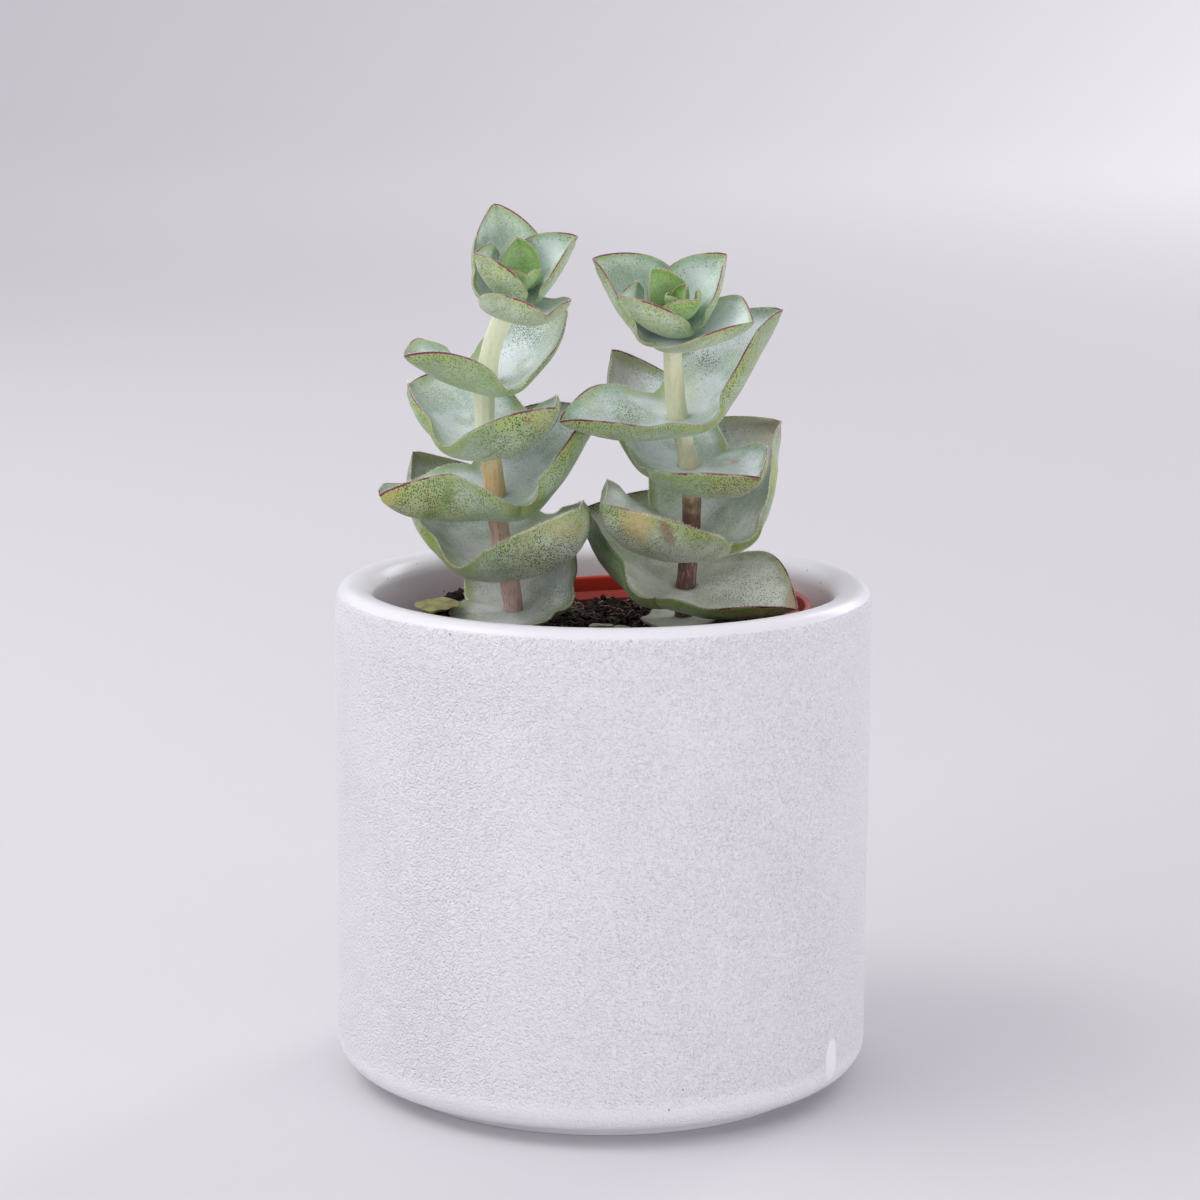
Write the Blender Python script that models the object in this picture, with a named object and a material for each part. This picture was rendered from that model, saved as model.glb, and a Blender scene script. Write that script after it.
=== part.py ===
"""Potted crassula: two leafy stems in a red nursery pot that stands inside a white cover pot.

Every piece is one closed body. Objects are in metres with +Z up, the origin is the middle of the
cover pot's foot, and the plant leans towards its front, -Y. Leaf and stem values are in millimetres
and degrees, and MM turns them into metres.
"""
import math
from dataclasses import dataclass

import bmesh
import bpy
import numpy as np
from mathutils import Matrix, Vector

MM = 0.001
CLEARANCE = 0.3 * MM

# Cover pot: straight wall, rounded rim, set-back foot
POT_RADIUS = 37.5 * MM
POT_HEIGHT = 70.2 * MM
POT_INNER_RADIUS = 32.0 * MM
POT_RIM_CREST_RADIUS = 35.1 * MM
POT_RIM_OUTER_DROP = 2.4 * MM
POT_RIM_INNER_DROP = 2.8 * MM
POT_FLOOR_TOP = 7.0 * MM
POT_INNER_CORNER = 4.0 * MM
POT_OUTER_CORNER = 3.6 * MM
POT_FOOT_RADIUS = 31.6 * MM
POT_FOOT_HEIGHT = 1.9 * MM
POT_SIDES = 52

# Nursery pot: thin tapered liner with a rolled rim and drainage holes, leaning a little to the left
LINER_FOOT_X = 4.7 * MM
LINER_FOOT_Y = 0.8 * MM
LINER_LEAN = math.radians(2.0)
LINER_RIM_RADIUS = 26.5 * MM
LINER_HEIGHT = 58.3 * MM
LINER_RIM_BAND = 3.2 * MM
LINER_RIM_LIP = 0.8 * MM
LINER_BASE_RADIUS = 21.0 * MM
LINER_WALL = 1.0 * MM
LINER_FLOOR = 1.2 * MM
LINER_SIDES = 36
DRAIN_HOLES = 5
DRAIN_HOLE_RADIUS = 2.5 * MM
DRAIN_HOLE_CIRCLE = 12.5 * MM

# Soil
SOIL_LEVEL = 63.0 * MM
SOIL_HEAP_HEIGHT = 1.0 * MM
SOIL_HEAP_X = -14.0 * MM
SOIL_HEAP_Y = 12.0 * MM
SOIL_HEAP_SPREAD = 9.0 * MM
SOIL_BUMP = 0.25 * MM
SOIL_EDGE_DROP = 0.8 * MM
SOIL_SIDES = 36
SOIL_ROWS = 8

# Stems
STEM_SIDES = 10
STEM_STEPS_PER_SPAN = 2
STEM_TOP_GAP = 0.7
STEM_TOP_SHARE = 0.8
STEM_HOLE_GAP = 0.4
STEM_HOLE_LENGTH = 14.0

# Leaves: what all of them share
PAIR_SIDES = 28
PAIR_ROWS = 4
YOUNG_PAIR_SIDES = 20
YOUNG_PAIR_ROWS = 3
MIDLINE_STEPS = 160
WIDEST_AT = 0.4
SHOULDER_POWER = 0.6
TIP_POWER = 2.0
TIP_BLUNTNESS = 0.82
NECK_CUP_SHARE = 0.45
LEAF_EDGE = 0.7
LIFT_ENDS_AT = 0.3
CUP_ENDS_AT = 0.32
TWIST_ENDS_AT = 0.6
CURL_POWER = 1.5
ROW_POWER = 0.85
RIM_CROWDING = 0.45
TIP_THINNING = 0.3
FULLNESS_POWER = 0.6

UP = Vector((0.0, 0.0, 1.0))


@dataclass(frozen=True)
class Finish:
    """Plain surface values of one material."""

    name: str
    colour: tuple
    roughness: float


WHITE_CERAMIC = Finish("white_ceramic", (0.78, 0.76, 0.79, 1.0), 0.45)
RED_PLASTIC = Finish("red_plastic", (0.42, 0.07, 0.035, 1.0), 0.5)
PEAT = Finish("peat", (0.03, 0.018, 0.012, 1.0), 0.95)
STEM_BARK = Finish("stem_bark", (0.42, 0.34, 0.24, 1.0), 0.7)
OLD_LEAF_SKIN = Finish("old_leaf_skin", (0.24, 0.31, 0.2, 1.0), 0.6)
LEAF_SKIN = Finish("leaf_skin", (0.3, 0.43, 0.3, 1.0), 0.55)
YOUNG_LEAF_SKIN = Finish("young_leaf_skin", (0.3, 0.46, 0.2, 1.0), 0.5)
DRY_LEAF_SKIN = Finish("dry_leaf_skin", (0.34, 0.31, 0.17, 1.0), 0.8)


@dataclass(frozen=True)
class Stem:
    """A stem as points from its foot to its top, in millimetres, with its radius."""

    radius: float
    points: tuple

    def at(self, height):
        """The point of the stem at a height."""
        heights = [point[2] for point in self.points]
        return tuple(float(np.interp(height, heights, [p[axis] for p in self.points])) for axis in range(3))

    def direction(self, height, span=2.0):
        """The way the stem grows at a height."""
        return (Vector(self.at(height + span)) - Vector(self.at(height - span))).normalized()


@dataclass(frozen=True)
class Blade:
    """One leaf of a pair: lengths in millimetres, angles in degrees.

    lift is the slope it takes just past the stem and curl what it gains towards the tip. cup turns
    each side up from the midrib and fold adds to that near the tip. bend turns the midrib sideways,
    and twist turns the blade about it.
    """

    length: float
    half_width: float
    lift: float
    curl: float
    cup: float = 60.0
    fold: float = 22.0
    bend: float = 0.0
    twist: float = 0.0


@dataclass(frozen=True)
class LeafPair:
    """Two opposite blades grown together round the stem.

    lean tilts the pair towards +X and +Y, turn is the first blade's way round from +X, and neck is
    half the width where the blades meet.
    """

    at: tuple
    lean: tuple
    turn: float
    neck: float
    thickness: float
    first: Blade
    second: Blade
    hole: float = 1.75

    def axes(self):
        """The pair's own axes: along the first blade, across it, and up."""
        up = Vector((math.tan(math.radians(self.lean[0])), math.tan(math.radians(self.lean[1])), 1.0))
        up.normalize()
        turn = math.radians(self.turn)
        along = Vector((math.cos(turn), math.sin(turn), 0.0))
        along -= up * along.dot(up)
        along.normalize()
        return along, up.cross(along), up


LEFT_STEM = Stem(1.4, (
    (-12.2, 3.0, 56.0), (-12.6, 2.0, 64.5), (-13.1, 1.0, 69.5), (-14.7, -1.0, 78.6), (-15.4, -2.6, 85.5),
    (-16.4, -4.4, 93.0), (-16.2, -5.6, 99.0), (-15.0, -7.2, 104.8), (-12.8, -9.2, 109.6),
))
RIGHT_STEM = Stem(1.3, (
    (11.0, 3.0, 56.0), (11.3, 2.0, 66.0), (12.1, -0.4, 78.0), (11.9, -2.2, 85.5), (10.9, -3.4, 90.5),
    (9.8, -4.6, 95.3), (9.2, -6.4, 102.5), (9.0, -8.0, 106.4),
))

LEFT_PAIRS = {
    "left_pair_1": LeafPair(
        LEFT_STEM.at(65.6), (0, -4), 66, 7.0, 1.5,
        Blade(17.0, 9.6, 40, 14, cup=50), Blade(10.5, 7.4, -3, 0, cup=10, fold=0)),
    "left_pair_2": LeafPair(
        LEFT_STEM.at(74.2), (-10, -17), 134, 9.0, 3.0,
        Blade(21.5, 9.2, 12, 72, cup=56, fold=8), Blade(22.0, 9.2, 5, 70, cup=56, fold=14, twist=4)),
    "left_pair_3": LeafPair(
        LEFT_STEM.at(82.6), (4, -15), 30, 7.6, 3.0,
        Blade(19.2, 9.6, 36, 8), Blade(18.5, 8.6, -13, 50, cup=44, fold=22, twist=-28)),
    "left_pair_4": LeafPair(
        LEFT_STEM.at(90.7), (-5, -14), 135, 8.0, 2.4,
        Blade(16.0, 8.8, 16, 12), Blade(16.3, 8.2, 14, 42, cup=44, fold=16, twist=2)),
    "left_pair_5": LeafPair(
        LEFT_STEM.at(98.8), (10, -11), 36, 5.6, 1.5,
        Blade(15.6, 7.0, 42, 12, cup=40, fold=4), Blade(14.8, 6.8, 14, 12, cup=50, twist=-6)),
}
RIGHT_PAIRS = {
    "right_pair_1": LeafPair(
        RIGHT_STEM.at(64.8), (0, 0), 76, 4.8, 1.2,
        Blade(8.0, 5.0, 0, 0, cup=8, fold=0), Blade(10.0, 5.0, 0, 0, cup=8, fold=4)),
    "right_pair_2": LeafPair(
        RIGHT_STEM.at(69.2), (-2, -14), 146, 8.2, 2.4,
        Blade(19.8, 13.4, 15, 28, cup=64), Blade(18.0, 8.8, -3, 12, cup=36, twist=-10)),
    "right_pair_3": LeafPair(
        RIGHT_STEM.at(77.0), (2, -17), 48, 7.2, 2.6,
        Blade(21.4, 12.8, 36, 20, cup=50, bend=-14),
        Blade(20.8, 11.4, 4, 66, cup=50, fold=18, bend=8, twist=1)),
    "right_pair_4": LeafPair(
        RIGHT_STEM.at(86.8), (-4, -15), 116, 6.0, 2.3,
        Blade(22.0, 8.2, 18, 62, cup=44, fold=4, bend=28), Blade(19.2, 8.6, -6, 48, cup=46, fold=18, bend=-8)),
    "right_pair_5": LeafPair(
        RIGHT_STEM.at(93.8), (-2, -15), 30, 6.8, 1.8,
        Blade(21.2, 8.6, 41, 8, bend=-8), Blade(18.8, 7.6, -2, 32, cup=48, bend=2, twist=8)),
}
LEFT_YOUNG_PAIRS = (
    LeafPair((-12.6, -9.4, 109.9), (13, -30), 112, 4.0, 1.5,
             Blade(14.8, 6.5, 31, 10), Blade(13.8, 6.7, 22, 28, cup=44, twist=6), hole=0.6),
    LeafPair((-12.0, -10.2, 111.6), (8, -30), 30, 3.8, 1.2,
             Blade(11.4, 5.4, 44, 10), Blade(10.6, 5.6, 44, 24), hole=0.6),
    LeafPair((-11.3, -11.0, 112.8), (4, -30), 100, 2.4, 1.0,
             Blade(6.4, 3.2, 44, 12), Blade(5.4, 3.0, 44, 20), hole=0.6),
)
RIGHT_YOUNG_PAIRS = (
    LeafPair((9.0, -8.2, 106.2), (-1, -28), 146, 5.2, 1.4,
             Blade(14.8, 7.4, 31, 12), Blade(14.0, 7.4, 10, 38, cup=30), hole=0.6),
    LeafPair((9.2, -9.0, 107.2), (-4, -28), 44, 4.2, 1.2,
             Blade(12.2, 6.0, 33, 10), Blade(11.9, 6.2, 38, 26, bend=20), hole=0.6),
    LeafPair((9.4, -9.8, 108.5), (-4, -28), 126, 2.6, 1.0,
             Blade(7.3, 3.6, 54, 8, cup=44), Blade(6.9, 4.0, 40, 22), hole=0.6),
    LeafPair((9.6, -10.3, 109.7), (-4, -28), 40, 1.2, 0.8,
             Blade(3.4, 1.6, 60, 10), Blade(3.0, 1.6, 60, 10), hole=0.4),
)

# A rosette's core
CORE_SIDES = 8
CORE_FOOT_RADIUS = 1.2
CORE_FOOT_DROP = 0.2
CORE_TOP_RADIUS = 0.7
CORE_RISE = 0.7

# Loose leaves
FALLEN_SIDES = 8
FALLEN_ROWS = 6
FALLEN_ROUNDNESS = 0.7


@dataclass(frozen=True)
class FallenLeaf:
    """A loose leaf that lies on the soil, or at the height rest on the nursery pot's rim.

    Places and sizes are in millimetres, and turn is in degrees.
    """

    x: float
    y: float
    length: float
    half_width: float
    thickness: float
    turn: float
    arch: float
    rest: float = 0.0


FALLEN_LEAVES = {
    "old_leaf": FallenLeaf(-23.2, -1.0, 10.4, 3.2, 1.0, 84, 0.4, rest=65.6),
    "dry_leaf_front": FallenLeaf(-0.3, -2.2, 3.4, 1.1, 0.7, 6, 0.3),
    "dry_leaf_side": FallenLeaf(2.6, -2.9, 2.6, 0.9, 0.7, -12, 0.2),
}


def clear_scene():
    """Removes every object, so that the script gives the same scene each run."""
    for found in list(bpy.data.objects):
        bpy.data.objects.remove(found, do_unlink=True)


def make_material(finish):
    """A Principled material with the finish's plain values."""
    material = bpy.data.materials.get(finish.name) or bpy.data.materials.new(finish.name)
    material.use_nodes = True
    shader = material.node_tree.nodes["Principled BSDF"]
    shader.inputs["Base Color"].default_value = finish.colour
    shader.inputs["Roughness"].default_value = finish.roughness
    shader.inputs["Metallic"].default_value = 0.0
    material.diffuse_color = finish.colour
    return material


def add_object(name, mesh, finish):
    """Links a mesh into the scene as one named piece."""
    piece = bpy.data.objects.new(name, mesh)
    if finish is not None:
        mesh.materials.append(make_material(finish))
    bpy.context.scene.collection.objects.link(piece)
    return piece


def bake(piece):
    """Turns a piece's modifiers into plain mesh."""
    depsgraph = bpy.context.evaluated_depsgraph_get()
    mesh = bpy.data.meshes.new_from_object(piece.evaluated_get(depsgraph))
    piece.modifiers.clear()
    piece.data = mesh


def hide_cutter(cutter):
    """Marks an object as a tool shape that is no piece."""
    cutter.hide_render = True
    cutter.display_type = "WIRE"


def smooth_round_faces(mesh, angle=40.0):
    """Shades a mesh smooth but for its sharp edges."""
    mesh.shade_smooth()
    mesh.set_sharp_from_angle(angle=math.radians(angle))


def wrapped_grid(name, points, ring_shaped=False):
    """Lays a grid over rows of points that each run round a section, and closes its ends.

    points[row, side] is in metres. A ring-shaped skin also joins its last row to its first.
    """
    count, sides = points.shape[:2]
    rows = count if ring_shaped else count - 1
    skin = bmesh.new()
    bmesh.ops.create_grid(skin, x_segments=sides, y_segments=rows, size=0.5)
    for vert in skin.verts:
        side = round((vert.co.x + 0.5) * sides)
        row = round((vert.co.y + 0.5) * rows)
        vert.co = points[row % count, side % sides]
    if ring_shaped:
        bmesh.ops.triangulate(skin, faces=skin.faces, quad_method="SHORT_EDGE")
    bmesh.ops.remove_doubles(skin, verts=skin.verts, dist=0.001 * MM)
    bmesh.ops.holes_fill(skin, edges=[edge for edge in skin.edges if edge.is_boundary], sides=0)
    bmesh.ops.recalc_face_normals(skin, faces=skin.faces)
    if skin.calc_volume(signed=True) < 0.0:
        bmesh.ops.reverse_faces(skin, faces=skin.faces)
    mesh = bpy.data.meshes.new(name)
    skin.to_mesh(mesh)
    skin.free()
    smooth_round_faces(mesh)
    return mesh


def arc(centre, radii, start, end, steps):
    """Points of an elliptical arc in the profile plane, from one angle to another."""
    points = []
    for step in range(steps + 1):
        angle = math.radians(start + (end - start) * step / steps)
        points.append((centre[0] + radii[0] * math.cos(angle), centre[1] + radii[1] * math.sin(angle)))
    return points


def turned(name, profile, sides, finish):
    """A turned body: the profile runs from the axis inside, over the rim and down the outside."""
    outline = bmesh.new()
    verts = [outline.verts.new((radius, 0.0, height)) for radius, height in profile]
    for first, second in zip(verts, verts[1:]):
        outline.edges.new((first, second))
    mesh = bpy.data.meshes.new(name)
    outline.to_mesh(mesh)
    outline.free()
    piece = add_object(name, mesh, finish)
    screw = piece.modifiers.new("Turn", "SCREW")
    screw.axis = "Z"
    screw.angle = math.tau
    screw.steps = sides
    screw.render_steps = sides
    screw.use_smooth_shade = True
    screw.use_merge_vertices = True
    screw.merge_threshold = 0.001 * MM
    return piece


def build_cover_pot():
    """The white outer pot."""
    corner = POT_INNER_CORNER
    wall_top = POT_HEIGHT - POT_RIM_INNER_DROP
    shoulder = POT_HEIGHT - POT_RIM_OUTER_DROP
    foot_corner = POT_FOOT_HEIGHT + POT_OUTER_CORNER
    profile = [(0.0, POT_FLOOR_TOP), (POT_INNER_RADIUS * 0.5, POT_FLOOR_TOP)]
    profile += arc((POT_INNER_RADIUS - corner, POT_FLOOR_TOP + corner), (corner, corner), -90, 0, 3)
    profile += [(POT_INNER_RADIUS, wall_top * 0.6)]
    profile += arc((POT_RIM_CREST_RADIUS, wall_top),
                   (POT_RIM_CREST_RADIUS - POT_INNER_RADIUS, POT_RIM_INNER_DROP), 180, 90, 4)
    profile += arc((POT_RIM_CREST_RADIUS, shoulder),
                   (POT_RADIUS - POT_RIM_CREST_RADIUS, POT_RIM_OUTER_DROP), 90, 0, 4)[1:]
    profile += [(POT_RADIUS, shoulder * 0.5)]
    profile += arc((POT_RADIUS - POT_OUTER_CORNER, foot_corner),
                   (POT_OUTER_CORNER, POT_OUTER_CORNER), 0, -90, 4)
    profile += [(POT_FOOT_RADIUS, POT_FOOT_HEIGHT), (POT_FOOT_RADIUS, 0.0), (0.0, 0.0)]
    return turned("cover_pot", profile, POT_SIDES, WHITE_CERAMIC)


def liner_place():
    """Where the nursery pot stands: its foot's low side just clears the cover pot's floor."""
    foot = POT_FLOOR_TOP + CLEARANCE + LINER_BASE_RADIUS * math.sin(LINER_LEAN)
    return Matrix.Translation((LINER_FOOT_X, LINER_FOOT_Y, foot)) @ Matrix.Rotation(-LINER_LEAN, 4, "Y")


def liner_radius(height):
    """The nursery pot's outer radius at a height over its foot, below its rim band."""
    body_top = LINER_RIM_RADIUS - LINER_RIM_LIP
    return LINER_BASE_RADIUS + (body_top - LINER_BASE_RADIUS) * height / LINER_HEIGHT


def build_nursery_pot():
    """The thin red pot that holds the soil, with its drainage holes."""
    band = LINER_HEIGHT - LINER_RIM_BAND
    lip = LINER_WALL * 0.5
    profile = [
        (0.0, LINER_FLOOR), (LINER_BASE_RADIUS * 0.5, LINER_FLOOR),
        (liner_radius(LINER_FLOOR) - LINER_WALL, LINER_FLOOR),
        (liner_radius(band) - LINER_WALL, band), (LINER_RIM_RADIUS - LINER_WALL, band + LINER_WALL),
    ]
    profile += arc((LINER_RIM_RADIUS - lip, LINER_HEIGHT - lip), (lip, lip), 180, 0, 4)
    profile += [
        (LINER_RIM_RADIUS, band), (liner_radius(band), band), (LINER_BASE_RADIUS, 0.0),
        (LINER_BASE_RADIUS * 0.5, 0.0), (0.0, 0.0),
    ]
    pot = turned("nursery_pot", profile, LINER_SIDES, RED_PLASTIC)
    pot.matrix_world = liner_place()

    drill = bmesh.new()
    for hole in range(DRAIN_HOLES):
        angle = math.tau * (hole + 0.25) / DRAIN_HOLES
        made = bmesh.ops.create_cone(drill, cap_ends=True, segments=12, radius1=DRAIN_HOLE_RADIUS,
                                     radius2=DRAIN_HOLE_RADIUS, depth=4.0 * LINER_FLOOR)
        place = (DRAIN_HOLE_CIRCLE * math.cos(angle), DRAIN_HOLE_CIRCLE * math.sin(angle), 0.0)
        bmesh.ops.translate(drill, verts=made["verts"], vec=place)
    mesh = bpy.data.meshes.new("drain_cutter")
    drill.to_mesh(mesh)
    drill.free()
    cutter = add_object("drain_cutter", mesh, None)
    cutter.matrix_world = liner_place()
    hide_cutter(cutter)
    cut = pot.modifiers.new("Drain holes", "BOOLEAN")
    cut.operation = "DIFFERENCE"
    cut.solver = "EXACT"
    cut.object = cutter
    return pot


def soil_height(x, y):
    """The soil's surface over a point: a low heap and small bumps on a level bed."""
    heap = math.exp(-((x - SOIL_HEAP_X) ** 2 + (y - SOIL_HEAP_Y) ** 2) / SOIL_HEAP_SPREAD ** 2)
    u = x / MM
    v = y / MM
    bumps = math.sin(0.9 * u + 0.4 * v) * math.cos(0.7 * v - 0.3 * u) + 0.6 * math.sin(1.7 * v + 1.1 * u)
    return SOIL_LEVEL + SOIL_HEAP_HEIGHT * heap + SOIL_BUMP * bumps


def build_soil(stems):
    """The soil body, with a plain hole for each stem's foot."""
    floor = LINER_FLOOR + CLEARANCE
    place = liner_place()
    edge_top = SOIL_LEVEL - place.translation.z - SOIL_EDGE_DROP
    outline = [(0.0, floor), (0.5, floor), (1.0, floor), (1.0, 0.5 * (floor + edge_top)), (1.0, edge_top)]
    outline += [(share / SOIL_ROWS, None) for share in range(SOIL_ROWS - 1, -1, -1)]
    rows = []
    for share, height in outline:
        row = []
        level = edge_top if height is None else height
        radius = (liner_radius(level) - LINER_WALL - CLEARANCE) * share
        for side in range(SOIL_SIDES):
            angle = math.tau * side / SOIL_SIDES
            point = place @ Vector((radius * math.cos(angle), radius * math.sin(angle), level))
            if height is None:
                point.z = soil_height(point.x, point.y)
            row.append(point)
        rows.append(row)
    soil = add_object("soil", wrapped_grid("soil", np.array(rows)), PEAT)
    for stem in stems:
        foot = Vector(stem.points[0])
        down = stem.direction(foot.z + 3.0)
        route = [foot - down * CLEARANCE / MM, foot + down * STEM_HOLE_LENGTH]
        hole = sweep("stem_hole_cutter", route, [stem.radius + STEM_HOLE_GAP] * 2)
        cutter = add_object("stem_hole_cutter", hole, None)
        hide_cutter(cutter)
        cut = soil.modifiers.new("Stem hole", "BOOLEAN")
        cut.operation = "DIFFERENCE"
        cut.solver = "EXACT"
        cut.object = cutter
    return soil


def sweep(name, route, radii, sides=STEM_SIDES):
    """A tube of the given radii along a route, both in millimetres, closed at its ends."""
    rows = []
    for index, (point, radius) in enumerate(zip(route, radii)):
        ahead = (route[min(index + 1, len(route) - 1)] - route[max(index - 1, 0)]).normalized()
        across = (Vector((1.0, 0.0, 0.0)) - ahead * ahead.x).normalized()
        beside = ahead.cross(across)
        row = []
        for side in range(sides):
            angle = math.tau * side / sides
            row.append((point + across * radius * math.cos(angle) + beside * radius * math.sin(angle)) * MM)
        rows.append(row)
    return wrapped_grid(name, np.array(rows))


def curve_through(points, steps):
    """A smooth curve through points, as Catmull-Rom spans."""
    knots = [Vector(point) for point in points]
    knots = [2 * knots[0] - knots[1]] + knots + [2 * knots[-1] - knots[-2]]
    route = []
    for before, start, end, after in zip(knots, knots[1:], knots[2:], knots[3:]):
        for step in range(steps):
            t = step / steps
            route.append(0.5 * (2 * start + (end - before) * t
                                + (2 * before - 5 * start + 4 * end - after) * t ** 2
                                + (3 * start - before - 3 * end + after) * t ** 3))
    route.append(knots[-2])
    return route


def rosette_foot(pair):
    """The lowest point of a rosette's core, in millimetres."""
    up = pair.axes()[2]
    return Vector(pair.at) - up * (pair.thickness + CORE_FOOT_DROP)


def build_stem(name, stem, rosette):
    """A stem from its foot in the soil up to just under its rosette."""
    top = rosette_foot(rosette) - rosette.axes()[2] * STEM_TOP_GAP
    below = [point for point in stem.points if point[2] < top.z - 1.5]
    route = curve_through(below + [tuple(top)], STEM_STEPS_PER_SPAN)
    radii = [stem.radius] * (len(route) - 1) + [stem.radius * STEM_TOP_SHARE]
    return add_object(name, sweep(name, route, radii), STEM_BARK)


def ease(value):
    """Goes from 0 to 1 with level ends."""
    value = np.clip(value, 0.0, 1.0)
    return value * value * (3.0 - 2.0 * value)


def half_width(share, blade, neck):
    """Half a blade's width at a share of its length."""
    rise = np.sin(0.5 * np.pi * np.clip(share / WIDEST_AT, 0.0, 1.0)) ** SHOULDER_POWER
    swell = neck + (blade.half_width - neck) * rise
    past = np.clip((share - WIDEST_AT) / (1.0 - WIDEST_AT), 0.0, 1.0)
    taper = blade.half_width * (1.0 - past ** TIP_POWER) ** TIP_BLUNTNESS
    return np.where(share < WIDEST_AT, swell, taper)


def midline(pair, blade, way):
    """A blade's midrib as points and directions; way is 1 for the first blade and -1 for the second."""
    along, across, up = (np.array(axis) for axis in pair.axes())
    share = np.linspace(0.0, 1.0, MIDLINE_STEPS)
    slope = np.radians(blade.lift) * ease(share / LIFT_ENDS_AT) + np.radians(blade.curl) * share ** CURL_POWER
    swing = np.radians(blade.bend) * share
    heading = (np.cos(slope) * np.cos(swing))[:, None] * (way * along)
    heading += (np.cos(slope) * np.sin(swing))[:, None] * across + np.sin(slope)[:, None] * up
    step = blade.length / (MIDLINE_STEPS - 1)
    path = np.cumsum(0.5 * (heading[1:] + heading[:-1]) * step, axis=0)
    points = np.array(pair.at) + np.concatenate([np.zeros((1, 3)), path])
    return share, points, heading


def read_at(share, table, wanted):
    """Reads rows of a table between its shares."""
    return np.stack([np.interp(wanted, share, table[:, axis]) for axis in range(3)], axis=-1)


def unit(vectors):
    """Vectors of the same directions with length 1."""
    return vectors / np.linalg.norm(vectors, axis=-1, keepdims=True)


def blade_skin(pair, blade, way, tipward, outward, far_side, growth):
    """Upper and lower points of one blade, in millimetres.

    tipward is 0 beside the stem and 1 along the midrib, outward goes from the hole to the rim, and
    far_side is 1 or -1. growth is the stem's direction, which the hole follows.
    """
    up = np.array(pair.axes()[2])
    rim_share = tipward + RIM_CROWDING * ((1.0 - np.cos(np.pi * tipward)) / 2.0 - tipward)
    rim_across = half_width(rim_share, blade, pair.neck)
    turn = tipward * np.pi / 2.0
    reach = pair.hole * np.sin(turn) + (rim_share * blade.length - pair.hole * np.sin(turn)) * outward
    across = pair.hole * np.cos(turn) + (rim_across - pair.hole * np.cos(turn)) * outward
    across = np.where(tipward > 0.999, 0.0, across)
    share = np.clip(reach / blade.length, 0.0, 1.0)
    width = np.maximum(half_width(share, blade, pair.neck), 0.001)
    side = np.clip(across / width, 0.0, 1.0)

    shares, points, headings = midline(pair, blade, way)
    spine = read_at(shares, points, share)
    heading = unit(read_at(shares, headings, share))
    lid = unit(up - heading * (heading @ up)[..., None])
    sideways = np.cross(lid, way * heading)
    twist = (np.radians(blade.twist) * ease(share / TWIST_ENDS_AT))[..., None]
    sideways, lid = (sideways * np.cos(twist) + lid * np.sin(twist),
                     lid * np.cos(twist) - sideways * np.sin(twist))

    shared_cup = 0.5 * (pair.first.cup + pair.second.cup)
    own = ease(share / CUP_ENDS_AT)
    cup = np.radians(shared_cup + (blade.cup - shared_cup) * own)
    cup *= NECK_CUP_SHARE + (1.0 - NECK_CUP_SHARE) * own
    fold = np.radians(blade.fold) * share ** 2
    turned_up = fold + cup * side
    lateral = width * (np.sin(turned_up) - np.sin(fold)) / cup
    rise = width * (np.cos(fold) - np.cos(turned_up)) / cup
    upper = spine + sideways * (far_side * lateral)[..., None] + lid * rise[..., None]

    facing = fold * np.clip(4.0 * side, 0.0, 1.0) + cup * side
    normal = np.cos(facing)[..., None] * lid - (far_side * np.sin(facing))[..., None] * sideways
    near_hole = (1.0 - ease(outward / 0.5))[..., None]
    inward = unit(normal * (1.0 - near_hole) + growth * near_hole)
    fullness = (1.0 - outward ** 2) ** FULLNESS_POWER * (1.0 - TIP_THINNING * share)
    thickness = LEAF_EDGE + (pair.thickness - LEAF_EDGE) * fullness
    return upper, upper - inward * thickness[..., None]


def pair_points(pair, growth, sides, rows):
    """Rings of points over a pair's upper side, from the hole to the rim, and back underneath."""
    place = np.arange(sides) / sides * 4.0
    quarter = np.floor(place).astype(int)
    part = place - quarter
    tipward = np.where(quarter % 2 == 0, 1.0 - part, part)
    outward = (np.arange(rows + 1) / rows) ** ROW_POWER
    tipward, outward = np.meshgrid(tipward, outward)
    far_side = np.broadcast_to(np.where(quarter < 2, 1.0, -1.0), tipward.shape)
    of_first = np.broadcast_to(((quarter == 0) | (quarter == 3))[None, :, None], tipward.shape + (3,))
    grow = np.array(growth)
    first = blade_skin(pair, pair.first, 1.0, tipward, outward, far_side, grow)
    second = blade_skin(pair, pair.second, -1.0, tipward, outward, far_side, grow)
    upper = np.where(of_first, first[0], second[0])
    lower = np.where(of_first, first[1], second[1])
    return np.concatenate([upper, lower[::-1]])


def build_pair(name, pair, stem, finish):
    """A leaf pair round its stem."""
    growth = stem.direction(pair.at[2])
    points = pair_points(pair, growth, PAIR_SIDES, PAIR_ROWS) * MM
    return add_object(name, wrapped_grid(name, points, ring_shaped=True), finish)


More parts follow.
